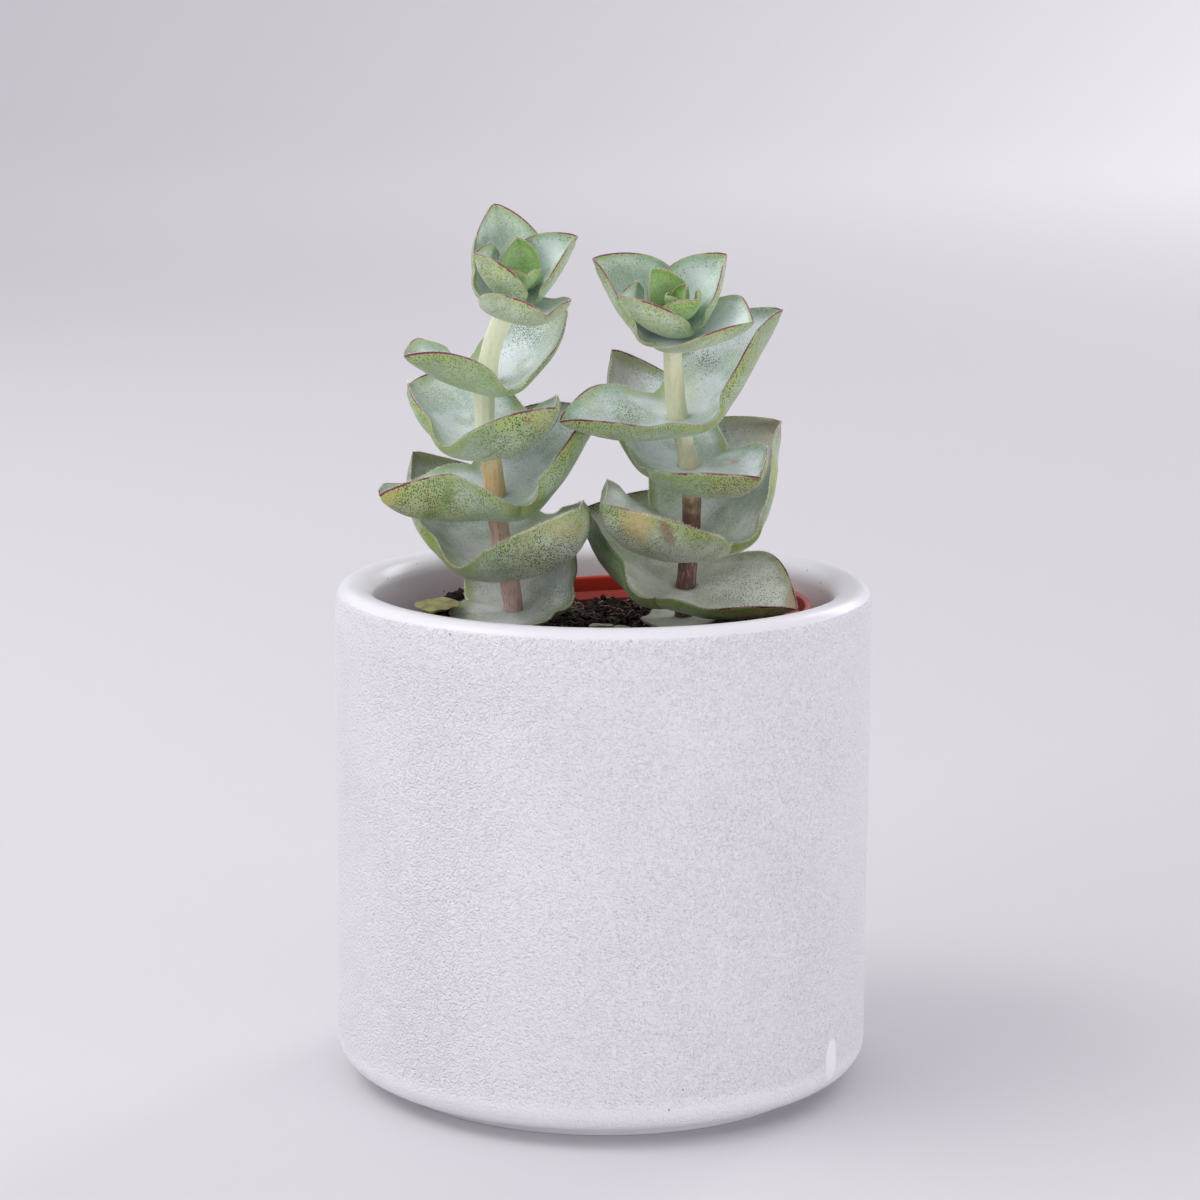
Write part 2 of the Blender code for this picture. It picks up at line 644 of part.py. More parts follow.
def build_rosette(name, pairs):
    """A rosette: young pairs grown together round a short core."""
    foot = rosette_foot(pairs[0])
    tip = Vector(pairs[-1].at) + pairs[-1].axes()[2] * CORE_RISE
    route = curve_through([tuple(foot)] + [pair.at for pair in pairs] + [tuple(tip)], 1)
    radii = [CORE_FOOT_RADIUS + (CORE_TOP_RADIUS - CORE_FOOT_RADIUS) * index / (len(route) - 1)
             for index in range(len(route))]
    rosette = add_object(name, sweep(name, route, radii, sides=CORE_SIDES), YOUNG_LEAF_SKIN)
    grown = bpy.data.collections.new(name + "_pairs")
    bpy.context.scene.collection.children.link(grown)
    for pair in pairs:
        points = pair_points(pair, pair.axes()[2], YOUNG_PAIR_SIDES, YOUNG_PAIR_ROWS) * MM
        grown.objects.link(bpy.data.objects.new(name + "_pair", wrapped_grid(name + "_pair", points, True)))
    join = rosette.modifiers.new("Grow together", "BOOLEAN")
    join.operation = "UNION"
    join.operand_type = "COLLECTION"
    join.solver = "EXACT"
    join.collection = grown
    bake(rosette)
    for part in list(grown.objects):
        bpy.data.objects.remove(part, do_unlink=True)
    bpy.data.collections.remove(grown)
    return rosette


def build_fallen_leaf(name, leaf):
    """A flat, slightly arched leaf lying on the soil."""
    turn = math.radians(leaf.turn)
    along = Vector((math.cos(turn), math.sin(turn), 0.0))
    across = Vector((-math.sin(turn), math.cos(turn), 0.0))
    lie = max(soil_height((leaf.x + along.x * s * leaf.length + across.x * t * leaf.half_width) * MM,
                          (leaf.y + along.y * s * leaf.length + across.y * t * leaf.half_width) * MM)
              for s in (-0.5, -0.25, 0.0, 0.25, 0.5) for t in (-1.0, -0.5, 0.0, 0.5, 1.0))
    level = max(lie / MM, leaf.rest) + CLEARANCE / MM + 0.5 * leaf.thickness
    rings = []
    for row in range(FALLEN_ROWS + 1):
        share = row / FALLEN_ROWS
        inner = 0 < row < FALLEN_ROWS
        width = leaf.half_width * math.sin(math.pi * share) ** FALLEN_ROUNDNESS if inner else 0.0
        depth = 0.5 * leaf.thickness if inner else 0.0
        centre = Vector((leaf.x, leaf.y, level)) + along * (share - 0.5) * leaf.length
        centre.z += leaf.arch * math.sin(math.pi * share)
        ring = []
        for side in range(FALLEN_SIDES):
            angle = math.tau * side / FALLEN_SIDES
            ring.append((centre + across * width * math.cos(angle) + UP * depth * math.sin(angle)) * MM)
        rings.append(ring)
    return add_object(name, wrapped_grid(name, np.array(rings)), DRY_LEAF_SKIN)


def main():
    """Builds the potted plant."""
    clear_scene()
    build_cover_pot()
    build_nursery_pot()
    build_soil((LEFT_STEM, RIGHT_STEM))
    build_stem("stem_left", LEFT_STEM, LEFT_YOUNG_PAIRS[0])
    build_stem("stem_right", RIGHT_STEM, RIGHT_YOUNG_PAIRS[0])
    for pairs, stem in ((LEFT_PAIRS, LEFT_STEM), (RIGHT_PAIRS, RIGHT_STEM)):
        for order, (name, pair) in enumerate(pairs.items()):
            build_pair(name, pair, stem, OLD_LEAF_SKIN if order < 3 else LEAF_SKIN)
    build_rosette("left_rosette", LEFT_YOUNG_PAIRS)
    build_rosette("right_rosette", RIGHT_YOUNG_PAIRS)
    for name, leaf in FALLEN_LEAVES.items():
        build_fallen_leaf(name, leaf)


main()
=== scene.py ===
"""Looks of the potted crassula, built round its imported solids.

Lengths inside the classes are in millimetres and angles in degrees. MM turns lengths into the metres
of the row frame, where +Z is up and -Y is the front.
"""

import logging
import math
from dataclasses import dataclass, field
from enum import Enum

import bmesh
import bpy
import numpy as np
from mathutils import Matrix, Vector, noise


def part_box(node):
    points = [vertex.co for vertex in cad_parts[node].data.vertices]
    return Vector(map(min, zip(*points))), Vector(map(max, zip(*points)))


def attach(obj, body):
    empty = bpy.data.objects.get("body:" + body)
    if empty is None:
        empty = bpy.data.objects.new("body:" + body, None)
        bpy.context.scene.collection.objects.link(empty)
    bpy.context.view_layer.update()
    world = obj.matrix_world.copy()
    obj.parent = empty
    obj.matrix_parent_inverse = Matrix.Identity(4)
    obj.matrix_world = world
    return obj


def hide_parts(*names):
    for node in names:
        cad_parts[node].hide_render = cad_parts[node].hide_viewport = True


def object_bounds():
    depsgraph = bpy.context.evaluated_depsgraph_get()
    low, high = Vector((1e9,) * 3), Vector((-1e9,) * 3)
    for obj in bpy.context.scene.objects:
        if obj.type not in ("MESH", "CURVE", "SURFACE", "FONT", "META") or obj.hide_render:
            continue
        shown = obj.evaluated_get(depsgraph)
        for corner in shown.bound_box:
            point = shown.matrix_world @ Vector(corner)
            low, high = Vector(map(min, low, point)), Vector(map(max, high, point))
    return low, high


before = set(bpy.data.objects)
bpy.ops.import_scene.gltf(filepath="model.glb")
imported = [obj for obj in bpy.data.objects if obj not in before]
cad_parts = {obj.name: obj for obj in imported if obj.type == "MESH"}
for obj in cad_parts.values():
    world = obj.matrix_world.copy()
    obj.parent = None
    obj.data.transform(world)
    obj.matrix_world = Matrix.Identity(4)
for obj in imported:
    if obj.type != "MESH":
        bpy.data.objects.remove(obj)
SOLID_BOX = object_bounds()
log = logging.getLogger("potted_crassula")
MM = 0.001


class Slot(Enum):
    """Material slots of the record."""

    POT = "white_ceramic"
    LINER = "red_plastic"
    SOIL = "peat"
    STEM = "stem_bark"
    OLD_LEAF = "old_leaf_skin"
    LEAF = "leaf_skin"
    YOUNG_LEAF = "young_leaf_skin"
    DRY_LEAF = "dry_leaf_skin"


class Side(Enum):
    """Which sides of a leaf pair a skin row lies on."""

    UPPER = 0.0
    LOWER = 1.0


def srgb(red: int, green: int, blue: int) -> tuple:
    """Linear colour of display values from 0 to 255."""
    def linear(value: float) -> float:
        """One channel, undone from its display curve."""
        return value / 12.92 if value <= 0.04045 else ((value + 0.055) / 1.055) ** 2.4
    return tuple(linear(channel / 255.0) for channel in (red, green, blue)) + (1.0,)


@dataclass(frozen=True)
class PotFinish:
    """Satin white glaze over a fine pebbled wall.

    Args:
        colour: Glaze colour.
        foot_shade_colour: Painted warm shade on the glaze near the foot.
        roughness: Roughness of the glaze.
        pebble_depth: Depth of the pebbled skin, in millimetres.
        pebble_scale: Pebbles to a millimetre.
    """

    colour: tuple = srgb(232, 231, 236)
    foot_shade_colour: tuple = srgb(231, 228, 233)
    roughness: float = 0.3
    pebble_depth: float = 0.24
    pebble_scale: float = 2.9


@dataclass(frozen=True)
class LinerFinish:
    """Thin terracotta-red plastic, and the painted shade that darkens it lower down."""

    colour: tuple = srgb(186, 50, 30)
    liner_shade_colour: tuple = srgb(96, 24, 20)
    roughness: float = 0.38


@dataclass(frozen=True)
class SoilFinish:
    """Dark peat with paler fibres and grit."""

    dark: tuple = srgb(15, 11, 12)
    pale: tuple = srgb(60, 45, 39)
    crumb: tuple = srgb(84, 64, 52)
    fibre: tuple = srgb(150, 128, 112)
    grit: tuple = srgb(212, 196, 182)
    roughness: float = 0.95


@dataclass(frozen=True)
class StemFinish:
    """Colours of a stem from its foot to its top, with the heights where they change."""

    foot: tuple
    low: tuple
    middle: tuple
    top: tuple
    foot_ends: float
    low_ends: float
    middle_ends: float
    roughness: float = 0.55


@dataclass(frozen=True)
class LeafFinish:
    """Skin of a leaf pair.

    Args:
        flesh: Colour of the upper side where its bloom is rubbed off.
        bloom: Colour of the waxy bloom.
        under: Colour of the underside.
        warm: Yellow-green of the zone inside the edge.
        edge: Colour of the edge line.
        speck: Colour of the fine dots.
        bloom_amount: Share of the upper side that the bloom covers.
        under_bloom: Share of the underside that the bloom covers.
        warm_reach: Width of the yellow-green zone, in millimetres.
        warm_amount: Strength of that zone.
        edge_amount: Strength of the edge line.
        speck_amount: Strength of the dots.
        wear: Strength of brown wear.
    """

    flesh: tuple
    bloom: tuple
    under: tuple
    warm: tuple
    edge: tuple
    speck: tuple
    bloom_amount: float = 0.6
    under_bloom: float = 0.35
    warm_reach: float = 2.2
    warm_amount: float = 0.6
    edge_amount: float = 0.85
    speck_amount: float = 0.6
    wear: float = 0.0


YOUNG_SKIN = LeafFinish(
    flesh=srgb(140, 182, 136), bloom=srgb(222, 236, 232), under=srgb(158, 176, 122),
    warm=srgb(176, 194, 104), edge=srgb(140, 60, 84), speck=srgb(50, 98, 50),
    bloom_amount=1.0, under_bloom=0.34, warm_reach=1.0, warm_amount=0.5, speck_amount=0.8)
HEART_SKIN = LeafFinish(
    flesh=srgb(128, 172, 88), bloom=srgb(190, 216, 168), under=srgb(150, 186, 110),
    warm=srgb(150, 184, 88), edge=srgb(166, 92, 104), speck=srgb(58, 104, 48),
    bloom_amount=0.42, under_bloom=0.5, warm_reach=1.0, warm_amount=0.5, edge_amount=0.4, speck_amount=0.6)
LEAF_SKIN = LeafFinish(
    flesh=srgb(120, 162, 122), bloom=srgb(236, 244, 248), under=srgb(134, 160, 102),
    warm=srgb(166, 184, 94), edge=srgb(118, 50, 70), speck=srgb(46, 78, 46),
    bloom_amount=0.96, under_bloom=0.24, warm_reach=2.0, warm_amount=0.5, speck_amount=0.95)
OLD_SKIN = LeafFinish(
    flesh=srgb(132, 160, 128), bloom=srgb(236, 242, 240), under=srgb(126, 152, 98),
    warm=srgb(158, 172, 80), edge=srgb(104, 52, 58), speck=srgb(32, 56, 32),
    bloom_amount=0.92, under_bloom=0.4, warm_reach=2.0, warm_amount=0.45, edge_amount=0.45,
    speck_amount=0.98, wear=0.22)
WORN_SKIN = LeafFinish(
    flesh=srgb(156, 172, 134), bloom=srgb(234, 238, 230), under=srgb(110, 152, 72),
    warm=srgb(168, 172, 92), edge=srgb(112, 50, 58), speck=srgb(56, 74, 46),
    bloom_amount=0.85, under_bloom=0.22, warm_reach=1.6, warm_amount=0.4, edge_amount=0.85,
    speck_amount=0.9, wear=0.35)
# Third value of a mark's place, for either side, and of its reach, for one side or both
UPPER = 0.0
LOWER = 10.0
SPAN = 4.0
BOTH = 14.0


@dataclass(frozen=True)
class Stem:
    """A stem as points from its foot to its top, with its radius."""

    radius: float
    points: tuple

    def at(self, height: float) -> tuple:
        """The point of the stem at a height."""
        heights = [point[2] for point in self.points]
        return tuple(float(np.interp(height, heights, [p[axis] for p in self.points])) for axis in range(3))

    def direction(self, height: float, span: float = 2.0) -> Vector:
        """The way the stem grows at a height."""
        return (Vector(self.at(height + span)) - Vector(self.at(height - span))).normalized()


@dataclass(frozen=True)
class Blade:
    """One leaf of a pair.

    Args:
        length: Length along its midrib.
        half_width: Half its width where it is widest.
        lift: Slope it takes just past the stem.
        curl: Slope it gains towards its tip.
        cup: How far each side turns up from the midrib.
        fold: What the tip folds up more.
        bend: How far its midrib turns sideways.
        twist: How far it turns about its midrib.
    """

    length: float
    half_width: float
    lift: float
    curl: float
    cup: float = 60.0
    fold: float = 22.0
    bend: float = 0.0
    twist: float = 0.0


@dataclass(frozen=True)
class LeafPair:
    """Two opposite blades grown together round the stem.

    Args:
        at: Where the pair crosses the stem.
        lean: Tilt towards +X and +Y.
        turn: The first blade's way round from +X.
        neck: Half the width where the blades meet.
        thickness: Thickness at the stem.
        first: The first blade.
        second: The opposite blade.
        hole: Radius round the stem.
    """

    at: tuple
    lean: tuple
    turn: float
    neck: float
    thickness: float
    first: Blade
    second: Blade
    hole: float = 1.2

    def axes(self) -> tuple:
        """The pair's own axes: along the first blade, across it, and up."""
        up = Vector((math.tan(math.radians(self.lean[0])), math.tan(math.radians(self.lean[1])), 1.0))
        up.normalize()
        turn = math.radians(self.turn)
        along = Vector((math.cos(turn), math.sin(turn), 0.0))
        along -= up * along.dot(up)
        along.normalize()
        return along, up.cross(along), up


LEFT_STEM = Stem(1.4, (
    (-12.2, 3.0, 56.0), (-12.6, 2.0, 64.5), (-13.1, 1.0, 69.5), (-14.7, -1.0, 78.6), (-15.4, -2.6, 85.5),
    (-16.4, -4.4, 93.0), (-16.2, -5.6, 99.0), (-15.0, -7.2, 104.8), (-12.8, -9.2, 109.6),
))
RIGHT_STEM = Stem(1.3, (
    (11.0, 3.0, 56.0), (11.3, 2.0, 66.0), (12.1, -0.4, 78.0), (11.9, -2.2, 85.5), (10.9, -3.4, 90.5),
    (9.8, -4.6, 95.3), (9.2, -6.4, 102.5), (9.0, -8.0, 106.4),
))
LEFT_PAIRS = {
    "left_pair_1": LeafPair(
        LEFT_STEM.at(65.6), (0, -4), 66, 7.0, 1.5,
        Blade(17.0, 9.6, 40, 14, cup=50), Blade(10.5, 7.4, -3, 0, cup=10, fold=0)),
    "left_pair_2": LeafPair(
        LEFT_STEM.at(74.2), (-10, -17), 134, 9.0, 3.0,
        Blade(21.5, 9.2, 12, 72, cup=56, fold=8), Blade(22.0, 9.2, 5, 70, cup=56, fold=14, twist=4)),
    "left_pair_3": LeafPair(
        LEFT_STEM.at(82.6), (4, -15), 30, 7.6, 3.0,
        Blade(19.2, 9.6, 36, 8), Blade(18.5, 8.6, -13, 50, cup=44, fold=22, twist=-28)),
    "left_pair_4": LeafPair(
        LEFT_STEM.at(90.7), (-5, -14), 135, 8.0, 2.4,
        Blade(16.0, 8.8, 16, 12), Blade(16.3, 8.2, 14, 42, cup=44, fold=16, twist=2)),
    "left_pair_5": LeafPair(
        LEFT_STEM.at(98.8), (10, -11), 36, 5.6, 1.5,
        Blade(15.6, 7.0, 42, 12, cup=40, fold=4), Blade(14.8, 6.8, 14, 12, cup=50, twist=-6)),
}
RIGHT_PAIRS = {
    "right_pair_1": LeafPair(
        RIGHT_STEM.at(64.8), (0, 0), 76, 4.8, 1.2,
        Blade(8.0, 5.0, 0, 0, cup=8, fold=0), Blade(10.0, 5.0, 0, 0, cup=8, fold=4)),
    "right_pair_2": LeafPair(
        RIGHT_STEM.at(69.2), (-2, -14), 146, 8.2, 2.4,
        Blade(19.8, 13.4, 15, 28, cup=64), Blade(18.0, 8.8, -3, 12, cup=36, twist=-10)),
    "right_pair_3": LeafPair(
        RIGHT_STEM.at(77.0), (2, -17), 48, 7.2, 2.6,
        Blade(21.4, 12.8, 36, 20, cup=50, bend=-14),
        Blade(20.8, 11.4, 4, 66, cup=50, fold=18, bend=8, twist=1)),
    "right_pair_4": LeafPair(
        RIGHT_STEM.at(86.8), (-4, -15), 116, 6.0, 2.3,
        Blade(22.0, 8.2, 18, 62, cup=44, fold=4, bend=28),
        Blade(19.2, 8.6, -6, 48, cup=46, fold=18, bend=-8)),
    "right_pair_5": LeafPair(
        RIGHT_STEM.at(93.8), (-2, -15), 30, 6.8, 1.8,
        Blade(21.2, 8.6, 41, 8, bend=-8), Blade(18.8, 7.6, -2, 32, cup=48, bend=2, twist=8)),
}
LEFT_YOUNG_PAIRS = (
    LeafPair((-12.6, -9.4, 109.9), (13, -30), 112, 4.0, 1.5,
             Blade(14.8, 6.5, 31, 10), Blade(13.8, 6.7, 22, 28, cup=44, twist=6), hole=0.6),
    LeafPair((-12.0, -10.2, 111.6), (8, -30), 30, 3.8, 1.2,
             Blade(11.4, 5.4, 44, 10), Blade(10.6, 5.6, 44, 24), hole=0.6),
    LeafPair((-11.3, -11.0, 112.8), (4, -30), 100, 2.4, 1.0,
             Blade(6.4, 3.2, 44, 12), Blade(5.4, 3.0, 44, 20), hole=0.05),
)
RIGHT_YOUNG_PAIRS = (
    LeafPair((9.0, -8.2, 106.2), (-1, -28), 146, 5.2, 1.4,
             Blade(14.8, 7.4, 31, 12), Blade(14.0, 7.4, 10, 38, cup=30), hole=0.6),
    LeafPair((9.2, -9.0, 107.2), (-4, -28), 44, 4.2, 1.2,
             Blade(12.2, 6.0, 33, 10), Blade(11.9, 6.2, 38, 26, bend=20), hole=0.6),
    LeafPair((9.4, -9.8, 108.5), (-4, -28), 126, 2.6, 1.0,
             Blade(7.3, 3.6, 54, 8, cup=44), Blade(6.9, 4.0, 40, 22), hole=0.6),
    LeafPair((9.6, -10.3, 109.7), (-4, -28), 40, 1.2, 0.8,
             Blade(3.4, 1.6, 60, 10), Blade(3.0, 1.6, 60, 10), hole=0.05),
)


def ease(value: np.ndarray) -> np.ndarray:
    """Goes from 0 to 1 with level ends."""
    value = np.clip(value, 0.0, 1.0)
    return value * value * (3.0 - 2.0 * value)


def unit(vectors: np.ndarray) -> np.ndarray:
    """Vectors of the same directions with length 1."""
    return vectors / np.maximum(np.linalg.norm(vectors, axis=-1, keepdims=True), 1e-9)


def read_at(share: np.ndarray, table: np.ndarray, wanted: np.ndarray) -> np.ndarray:
    """Reads rows of a table between its shares."""
    return np.stack([np.interp(wanted, share, table[:, axis]) for axis in range(3)], axis=-1)


def around(radius: float, angle: float, height: float) -> Vector:
    """The point at a radius, an angle and a height round the upright axis."""
    return Vector((radius * math.cos(angle), radius * math.sin(angle), height))


def finished(name: str, made: bmesh.types.BMesh) -> bpy.types.Mesh:
    """Turns what was made into a named mesh."""
    mesh = bpy.data.meshes.new(name)
    made.to_mesh(mesh)
    made.free()
    return mesh


def skin_mesh(name: str, points: np.ndarray, facts: dict | None = None,
              ring_shaped: bool = False) -> bpy.types.Mesh:
    """Lays a grid over rows of points that each run round a section.

    Args:
        name: Name of the mesh.
        points: Places in millimetres, as [row, side, axis].
        facts: Values to keep for the shader, by name, as [row, side] or [row, side, axis].
        ring_shaped: Joins the last row to the first one.

    Returns:
        The closed mesh, in metres.
    """
    count, sides = points.shape[:2]
    rows = count if ring_shaped else count - 1
    skin = bmesh.new()
    layers = {}
    for label, values in (facts or {}).items():
        kinds = skin.verts.layers.float if values.ndim == 2 else skin.verts.layers.float_vector
        layers[label] = (kinds.new(label), values)
    bmesh.ops.create_grid(skin, x_segments=sides, y_segments=rows, size=0.5)
    for vert in skin.verts:
        side = round((vert.co.x + 0.5) * sides) % sides
        row = round((vert.co.y + 0.5) * rows) % count
        vert.co = points[row, side] * MM
        for layer, values in layers.values():
            vert[layer] = values[row, side]
    bmesh.ops.remove_doubles(skin, verts=skin.verts, dist=0.0005 * MM)
    bmesh.ops.holes_fill(skin, edges=[edge for edge in skin.edges if edge.is_boundary], sides=0)
    bmesh.ops.recalc_face_normals(skin, faces=skin.faces)
    if skin.calc_volume(signed=True) < 0.0:
        bmesh.ops.reverse_faces(skin, faces=skin.faces)
    mesh = finished(name, skin)
    mesh.shade_smooth()
    return mesh


def curve_through(points: list, steps: int) -> list:
    """A smooth curve through points, as Catmull-Rom spans with that many steps each."""
    knots = [Vector(point) for point in points]
    knots = [2 * knots[0] - knots[1]] + knots + [2 * knots[-1] - knots[-2]]
    route = []
    for before, start, end, after in zip(knots, knots[1:], knots[2:], knots[3:]):
        for step in range(steps):
            t = step / steps
            route.append(0.5 * (2 * start + (end - before) * t
                                + (2 * before - 5 * start + 4 * end - after) * t ** 2
                                + (3 * start - before - 3 * end + after) * t ** 3))
    route.append(knots[-2])
    return route


def tube_points(route: list, radii: list, sides: int, ribs: float = 0.0) -> np.ndarray:
    """Rings round a route, with lengthwise ribs of the given depth."""
    coarse, fine = 5, 9
    rows = []
    for index, (point, radius) in enumerate(zip(route, radii)):
        ahead = (route[min(index + 1, len(route) - 1)] - route[max(index - 1, 0)]).normalized()
        aside = Vector((1.0, 0.0, 0.0)) if abs(ahead.x) < 0.9 else Vector((0.0, 1.0, 0.0))
        across = (aside - ahead * ahead.dot(aside)).normalized()
        beside = ahead.cross(across)
        row = []
        for side in range(sides):
            angle = math.tau * side / sides
            wave = math.sin(fine * angle + 0.12 * point.z) + 0.6 * math.sin(coarse * angle - 0.2 * point.z)
            reach = radius + ribs * wave
            row.append(point + across * reach * math.cos(angle) + beside * reach * math.sin(angle))
        rows.append(row)
    return np.array(rows)


def show(name: str, mesh: bpy.types.Mesh, material: bpy.types.Material, slot: Slot,
         *nodes: str) -> bpy.types.Object:
    """Links a piece into the scene and lets it ride on the part.

    Args:
        name: Name of the piece.
        mesh: Its mesh, in the row frame.
        material: Its material.
        slot: The record's slot that it belongs to; not used.
        nodes: Solids that it stands for.

    Returns:
        The new piece.
    """
    piece = bpy.data.objects.new(name, mesh)
    if not mesh.materials:
        mesh.materials.append(material)
    bpy.context.scene.collection.objects.link(piece)
    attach(piece, "root")
    if nodes:
        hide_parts(*nodes)
    log.info("%s: %d faces", name, len(mesh.polygons))
    return piece


class Graph:
    """Adds shader nodes to one tree and joins them."""

    def __init__(self, tree: bpy.types.NodeTree) -> None:
        """Takes the tree to build in."""
        self.tree = tree

    def node(self, kind: str, values: dict | None = None, **settings: object) -> bpy.types.Node:
        """Adds one node.

        Args:
            kind: Blender's name of the node type, without ShaderNode.
            values: Inputs by name or index: a socket is joined, anything else is set.
            settings: Attributes of the node.

        Returns:
            The node.
        """
        made = self.tree.nodes.new(kind if kind.startswith("NodeGroup") else "ShaderNode" + kind)
        for label, value in settings.items():
            setattr(made, label, value)
        return self.fill(made, values or {})

    def fill(self, made: bpy.types.Node, values: dict) -> bpy.types.Node:
        """Fills a node's inputs by name or index: a socket is joined, anything else is set."""
        for key, value in values.items():
            if isinstance(value, bpy.types.NodeSocket):
                self.tree.links.new(value, made.inputs[key])
            else:
                made.inputs[key].default_value = value
        return made

    def math(self, operation: str, first: object, second: object,
             clamp: bool = False) -> bpy.types.NodeSocket:
        """One sum of two values."""
        return self.node("Math", {0: first, 1: second}, operation=operation, use_clamp=clamp).outputs[0]

    def plus(self, first: object, second: object, clamp: bool = False) -> bpy.types.NodeSocket:
        """Adds two values."""
        return self.math("ADD", first, second, clamp)

    def minus(self, first: object, second: object) -> bpy.types.NodeSocket:
        """Takes the second value from the first."""
        return self.math("SUBTRACT", first, second)

    def times(self, first: object, second: object, clamp: bool = False) -> bpy.types.NodeSocket:
        """Multiplies two values."""
        return self.math("MULTIPLY", first, second, clamp)

    def ramp(self, value: object, low: object, high: object, start: object = 0.0,
             end: object = 1.0) -> bpy.types.NodeSocket:
        """Maps a value smoothly from one range to another."""
        made = self.node("MapRange", {"Value": value, "From Min": low, "From Max": high, "To Min": start,
                                      "To Max": end}, interpolation_type="SMOOTHSTEP")
        return made.outputs["Result"]

    def mix(self, share: object, first: object, second: object) -> bpy.types.NodeSocket:
        """Mixes two colours."""
        return self.node("Mix", {"Factor": share, 6: first, 7: second}, data_type="RGBA").outputs[2]

    def noise(self, vector: object, scale: object, detail: float = 3.0,
              roughness: float = 0.5) -> bpy.types.NodeSocket:
        """A noise value from 0 to 1."""
        values = {"Vector": vector, "Scale": scale, "Detail": detail, "Roughness": roughness}
        return self.node("TexNoise", values).outputs["Fac"]

    def distance(self, vector: object, place: object, reach: object) -> bpy.types.NodeSocket:
        """How far a place lies from another one, counted in reaches along each axis."""
        away = self.node("VectorMath", {0: vector, 1: place}, operation="SUBTRACT").outputs[0]
        away = self.node("VectorMath", {0: away, 1: reach}, operation="DIVIDE").outputs[0]
        return self.node("VectorMath", {0: away}, operation="LENGTH").outputs["Value"]

    def bump(self, strength: float, depth: float, height: object) -> bpy.types.NodeSocket:
        """A bumped normal, its depth in millimetres."""
        values = {"Strength": strength, "Distance": depth * MM, "Height": height}
        return self.node("Bump", values).outputs["Normal"]

    def stretch(self, vector: object, scale: tuple, move: tuple = (0.0, 0.0, 0.0)) -> bpy.types.NodeSocket:
        """Scales and shifts a place."""
        return self.node("Mapping", {"Vector": vector, "Scale": scale, "Location": move}).outputs["Vector"]

    def height(self, place: object) -> bpy.types.NodeSocket:
        """The height of a place."""
        return self.node("SeparateXYZ", {"Vector": place}).outputs["Z"]

    def fact(self, label: str) -> bpy.types.Node:
        """Reads what a mesh keeps for the shader."""
        return self.node("Attribute", attribute_name=label)

    def group(self, tree: bpy.types.NodeTree, values: dict) -> bpy.types.Node:
        """Adds a node group."""
        made = self.tree.nodes.new("ShaderNodeGroup")
        made.node_tree = tree
        return self.fill(made, values)


def new_group(name: str, inputs: dict, output: str) -> tuple:
    """Starts a node group that gives one value.

    Args:
        name: Name of the group.
        inputs: Kinds of its inputs, by name.
        output: Name of its output.

    Returns:
        The tree, its graph, its input sockets by name and its output node.
    """
    tree = bpy.data.node_groups.new(name, "ShaderNodeTree")
    for label, kind in inputs.items():
        tree.interface.new_socket(label, in_out="INPUT", socket_type="NodeSocket" + kind)
    tree.interface.new_socket(output, in_out="OUTPUT", socket_type="NodeSocketFloat")
    entry = tree.nodes.new("NodeGroupInput")
    leave = tree.nodes.new("NodeGroupOutput")
    return tree, Graph(tree), entry.outputs, leave


def dots_group() -> bpy.types.NodeTree:
    """Fine dots whose number varies from place to place."""
    inputs = {"Vector": "Vector", "Scale": "Float", "Size": "Float", "Amount": "Float"}
    tree, graph, given, leave = new_group("fine_dots", inputs, "Mask")
    cells = graph.node("TexVoronoi", {"Vector": given["Vector"], "Scale": given["Scale"]}, feature="F1")
    patch = graph.noise(given["Vector"], 0.35, 2.0)
    draw = graph.node("SeparateColor", {"Color": cells.outputs["Color"]}).outputs[0]
    amount = graph.times(given["Amount"], graph.ramp(patch, 0.3, 0.62, 0.25, 1.1))
    chosen = graph.math("LESS_THAN", draw, amount)
    core = graph.times(given["Size"], 0.45)
    round_dot = graph.ramp(cells.outputs["Distance"], core, given["Size"], 1.0, 0.0)
    tree.links.new(graph.times(chosen, round_dot), leave.inputs["Mask"])
    return tree


def pebble_group() -> bpy.types.NodeTree:
    """Height of a pebbled skin."""
    inputs = {"Vector": "Vector", "Scale": "Float"}
    tree, graph, given, leave = new_group("pebbled_skin", inputs, "Height")
    values = {"Vector": given["Vector"], "Scale": given["Scale"], "Smoothness": 0.5}
    cells = graph.node("TexVoronoi", values, feature="SMOOTH_F1").outputs["Distance"]
    grain = graph.noise(given["Vector"], graph.times(given["Scale"], 1.15), 1.0)
    tree.links.new(graph.minus(graph.times(grain, 1.5), cells), leave.inputs["Height"])
    return tree


def spot_group() -> bpy.types.NodeTree:
    """A soft-edged spot of a given place and size, with a ragged outline."""
    inputs = {"Vector": "Vector", "Place": "Vector", "Reach": "Vector"}
    tree, graph, given, leave = new_group("ragged_spot", inputs, "Mask")
    far = graph.distance(given["Vector"], given["Place"], given["Reach"])
    wobble = graph.noise(given["Vector"], 1.6, 3.0, 0.6)
    ragged = graph.plus(far, graph.ramp(wobble, 0.2, 0.8, -0.3, 0.3))
    tree.links.new(graph.ramp(ragged, 0.3, 1.25, 1.0, 0.0), leave.inputs["Mask"])
    return tree


@dataclass(frozen=True)
class Mark:
    """A coloured spot on a leaf.

    Args:
        place: Along the blade, across it, and 0 for the upper side or 10 for the lower one.
        reach: Half its size along those.
        colour: Its colour.
        amount: Its strength.
    """

    place: tuple
    reach: tuple
    colour: tuple
    amount: float = 0.8
    dotted: bool = False


